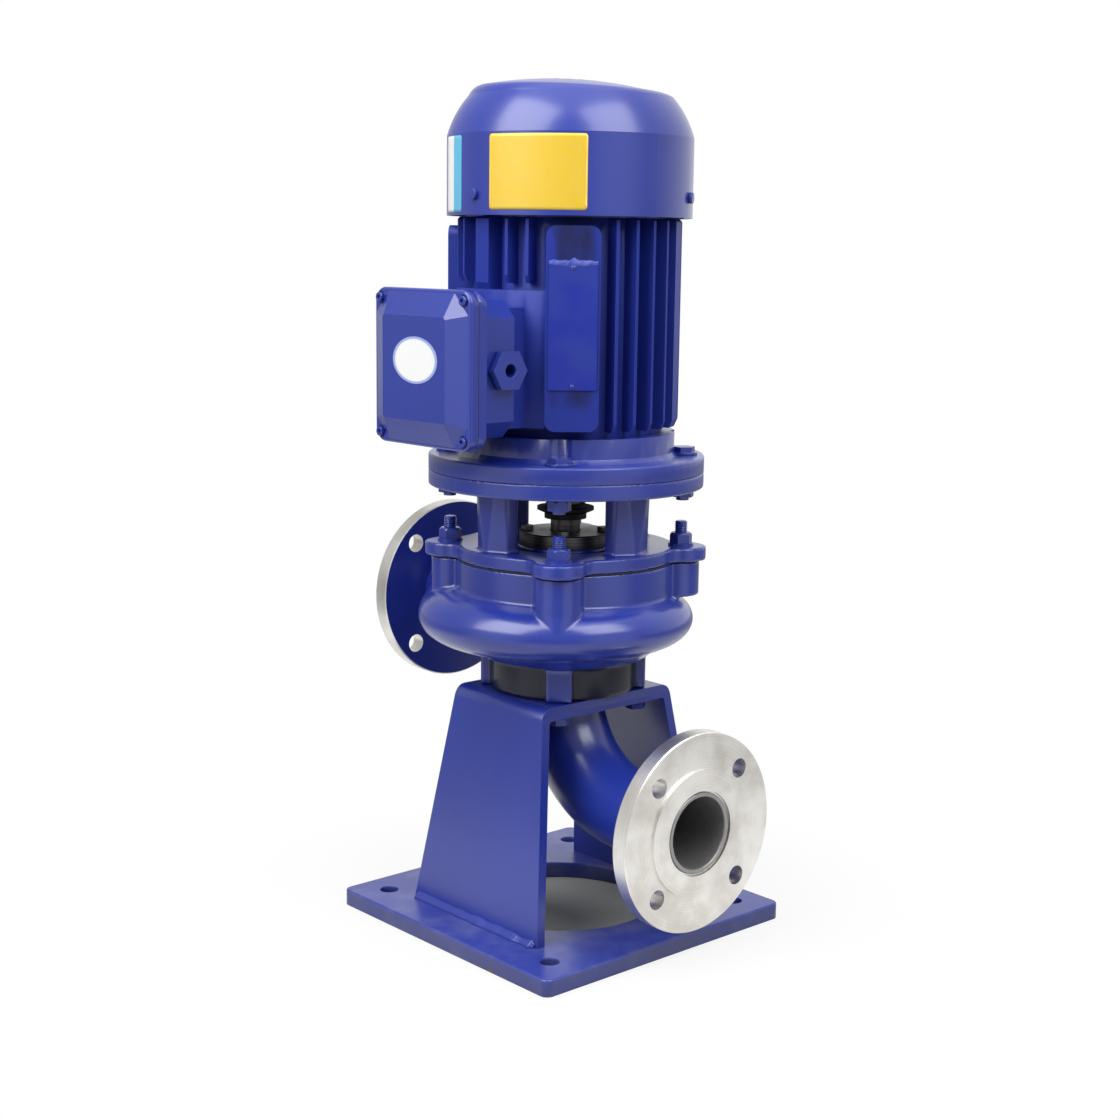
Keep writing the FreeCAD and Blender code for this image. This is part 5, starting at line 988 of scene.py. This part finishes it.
def mix_shaders(tree, share, first, second):
    """Mixes two shaders."""
    node = tree.nodes.new("ShaderNodeMixShader")
    put(tree, node.inputs[0], share)
    put(tree, node.inputs[1], first)
    put(tree, node.inputs[2], second)
    return node.outputs[0]


def background_share(tree, outward):
    """The share of white that a ray sees: all from the camera, part in gloss, all below the lamps."""
    unit = tree.nodes.new("ShaderNodeVectorMath")
    unit.operation = "NORMALIZE"
    put(tree, unit.inputs[0], outward)
    strips = []
    for lamp in LAMPS.values():
        facing = cosine(tree, unit.outputs[0], towards(lamp["azimuth"], 0.0))
        strips.append(step(tree, facing, *BELOW_LAMP_SPREAD))
    rays = tree.nodes.new("ShaderNodeLightPath").outputs
    gloss = blend_value(tree, calc(tree, "MAXIMUM", *strips), BACKGROUND_IN_GLOSS, 1.0)
    mirrored = product(tree, rays["Is Glossy Ray"], gloss)
    direct = calc(tree, "MAXIMUM", rays["Is Camera Ray"], mirrored)
    return calc(tree, "MAXIMUM", direct, rays["Is Transmission Ray"])


def floor_material():
    """White to the camera. Elsewhere a painted pool of light, pale near the object and dim far off, with
    painted shade below the base plate.
    """
    made = bpy.data.materials.new("studio_floor")
    made.use_nodes = True
    tree = made.node_tree
    tree.nodes.clear()
    out = tree.nodes.new("ShaderNodeOutputMaterial")
    matt = tree.nodes.new("ShaderNodeBsdfDiffuse")
    white = tree.nodes.new("ShaderNodeEmission")
    radius = distance_from(tree, object_place(tree), Z, ORIGIN)
    # Painted shade: the floor below the base plate's opening is coloured grey
    outside = step(tree, radius, SHADED_FLOOR_RADIUS, SHADED_FLOOR_RADIUS + SHADED_FLOOR_FADE)
    # Painted pool of light: the floor is pale near the object and dim far off
    painted_pool_floor = blend_colour(tree, step(tree, radius, *POOL_FADE_RADII), FLOOR_PAINTED_POOL, FLOOR_PAINTED_DIM)
    put(tree, matt.inputs["Color"], blend_colour(tree, outside, FLOOR_PAINTED_SHADE, painted_pool_floor))
    whiteness = blend_value(tree, step(tree, radius, *NEAR_FLOOR_RADII), NEAR_FLOOR_WHITE, 1.0)
    share = product(tree, whiteness, outside, background_share(tree, object_place(tree)))
    put(tree, out.inputs[0], mix_shaders(tree, share, matt.outputs[0], white.outputs[0]))
    return made


def floor():
    """The studio's floor, a hair below the base plate."""
    mesh = bmesh.new()
    bmesh.ops.create_grid(mesh, x_segments=1, y_segments=1, size=FLOOR_HALF_SIDE)
    data = bpy.data.meshes.new("studio_floor")
    mesh.to_mesh(data)
    mesh.free()
    data.materials.append(floor_material())
    ground = bpy.data.objects.new("studio_floor", data)
    ground.location = (0.0, 0.0, -FLOOR_DROP)
    bpy.context.scene.collection.objects.link(ground)


def world():
    """A room with a bright ceiling, paler behind than at the sides, and white to the camera."""
    made = bpy.data.worlds.new("studio")
    made.use_nodes = True
    tree = made.node_tree
    tree.nodes.clear()
    out = tree.nodes.new("ShaderNodeOutputWorld")
    room = tree.nodes.new("ShaderNodeBackground")
    white = tree.nodes.new("ShaderNodeBackground")
    direction = tree.nodes.new("ShaderNodeTexCoord").outputs["Generated"]
    facing = cosine(tree, direction, towards(BACK_WALL_AZIMUTH, BACK_WALL_ELEVATION))
    walls = blend_value(tree, step(tree, facing, *BACK_WALL_SPREAD), *WALL_STRENGTHS)
    ceiling = product(tree, step(tree, split(tree, direction)[Z], *CEILING_SPREAD), CEILING_STRENGTH)
    fill(tree, room, {"Color": WHITE, "Strength": calc(tree, "ADD", walls, ceiling)})
    fill(tree, white, {"Color": WHITE})
    share = background_share(tree, direction)
    put(tree, out.inputs[0], mix_shaders(tree, share, room.outputs[0], white.outputs[0]))
    bpy.context.scene.world = made


def softbox(name, azimuth, elevation, width, height, power):
    """An area lamp that faces the middle of the object."""
    lamp = bpy.data.lights.new(name, "AREA")
    lamp.shape = "RECTANGLE"
    lamp.size = width
    lamp.size_y = height
    lamp.energy = power
    place = bpy.data.objects.new(name, lamp)
    direction = towards(azimuth, elevation)
    place.location = Vector((0.0, 0.0, LAMP_TARGET_HEIGHT)) + direction * LAMP_DISTANCE
    place.rotation_mode = "QUATERNION"
    place.rotation_quaternion = direction.to_track_quat("Z", "Y")
    bpy.context.scene.collection.objects.link(place)


def camera():
    """The camera that the photograph was taken with, as fitted."""
    back = towards(CAMERA_AZIMUTH, CAMERA_ELEVATION)
    turn = math.radians(CAMERA_AZIMUTH)
    right = Vector((math.cos(turn), math.sin(turn), 0.0))
    up = back.cross(right)
    roll = math.radians(CAMERA_ROLL)
    tilted_right = right * math.cos(roll) + up * math.sin(roll)
    tilted_up = up * math.cos(roll) - right * math.sin(roll)
    target = Vector((0.0, 0.0, TARGET_HEIGHT)) + right * TARGET_SIDE
    place = target + back * CAMERA_DISTANCE
    data = bpy.data.cameras.new("camera")
    data.sensor_width = SENSOR_WIDTH
    data.lens = FOCAL_PIXELS / PHOTO_SIDE * SENSOR_WIDTH
    data.clip_start = CAMERA_NEAR
    made = bpy.data.objects.new("camera", data)
    axes = Matrix((tilted_right, tilted_up, back)).transposed().to_4x4()
    made.matrix_world = Matrix.Translation(place) @ axes
    bpy.context.scene.collection.objects.link(made)
    bpy.context.scene.camera = made


def write_sizes():
    """Updates the view layer."""
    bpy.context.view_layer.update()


def main():
    """Dresses the part, adds the pieces made here, and sets up the studio."""
    cast = enamel("cast_enamel", 0.55, 0.28)
    machined = enamel("machined_enamel", 0.45, 0.28)
    sheet = enamel("sheet_enamel", 0.0, 0.27)
    small = enamel("fastener_enamel", 0.30, 0.32)
    by_node = node_materials(cast, machined, sheet)
    dress_nodes(by_node, slot_materials(machined, small))
    soften_nodes()
    weld_beads(machined)
    threaded_studs(small)
    plate_rivets(by_node["rating_plate_blank"])
    paint_crust(crust_paint_highlight())
    labels()
    floor()
    world()
    for name, lamp in LAMPS.items():
        softbox(name, **lamp)
    camera()
    bpy.context.scene.view_settings.view_transform = "Standard"
    write_sizes()


main()
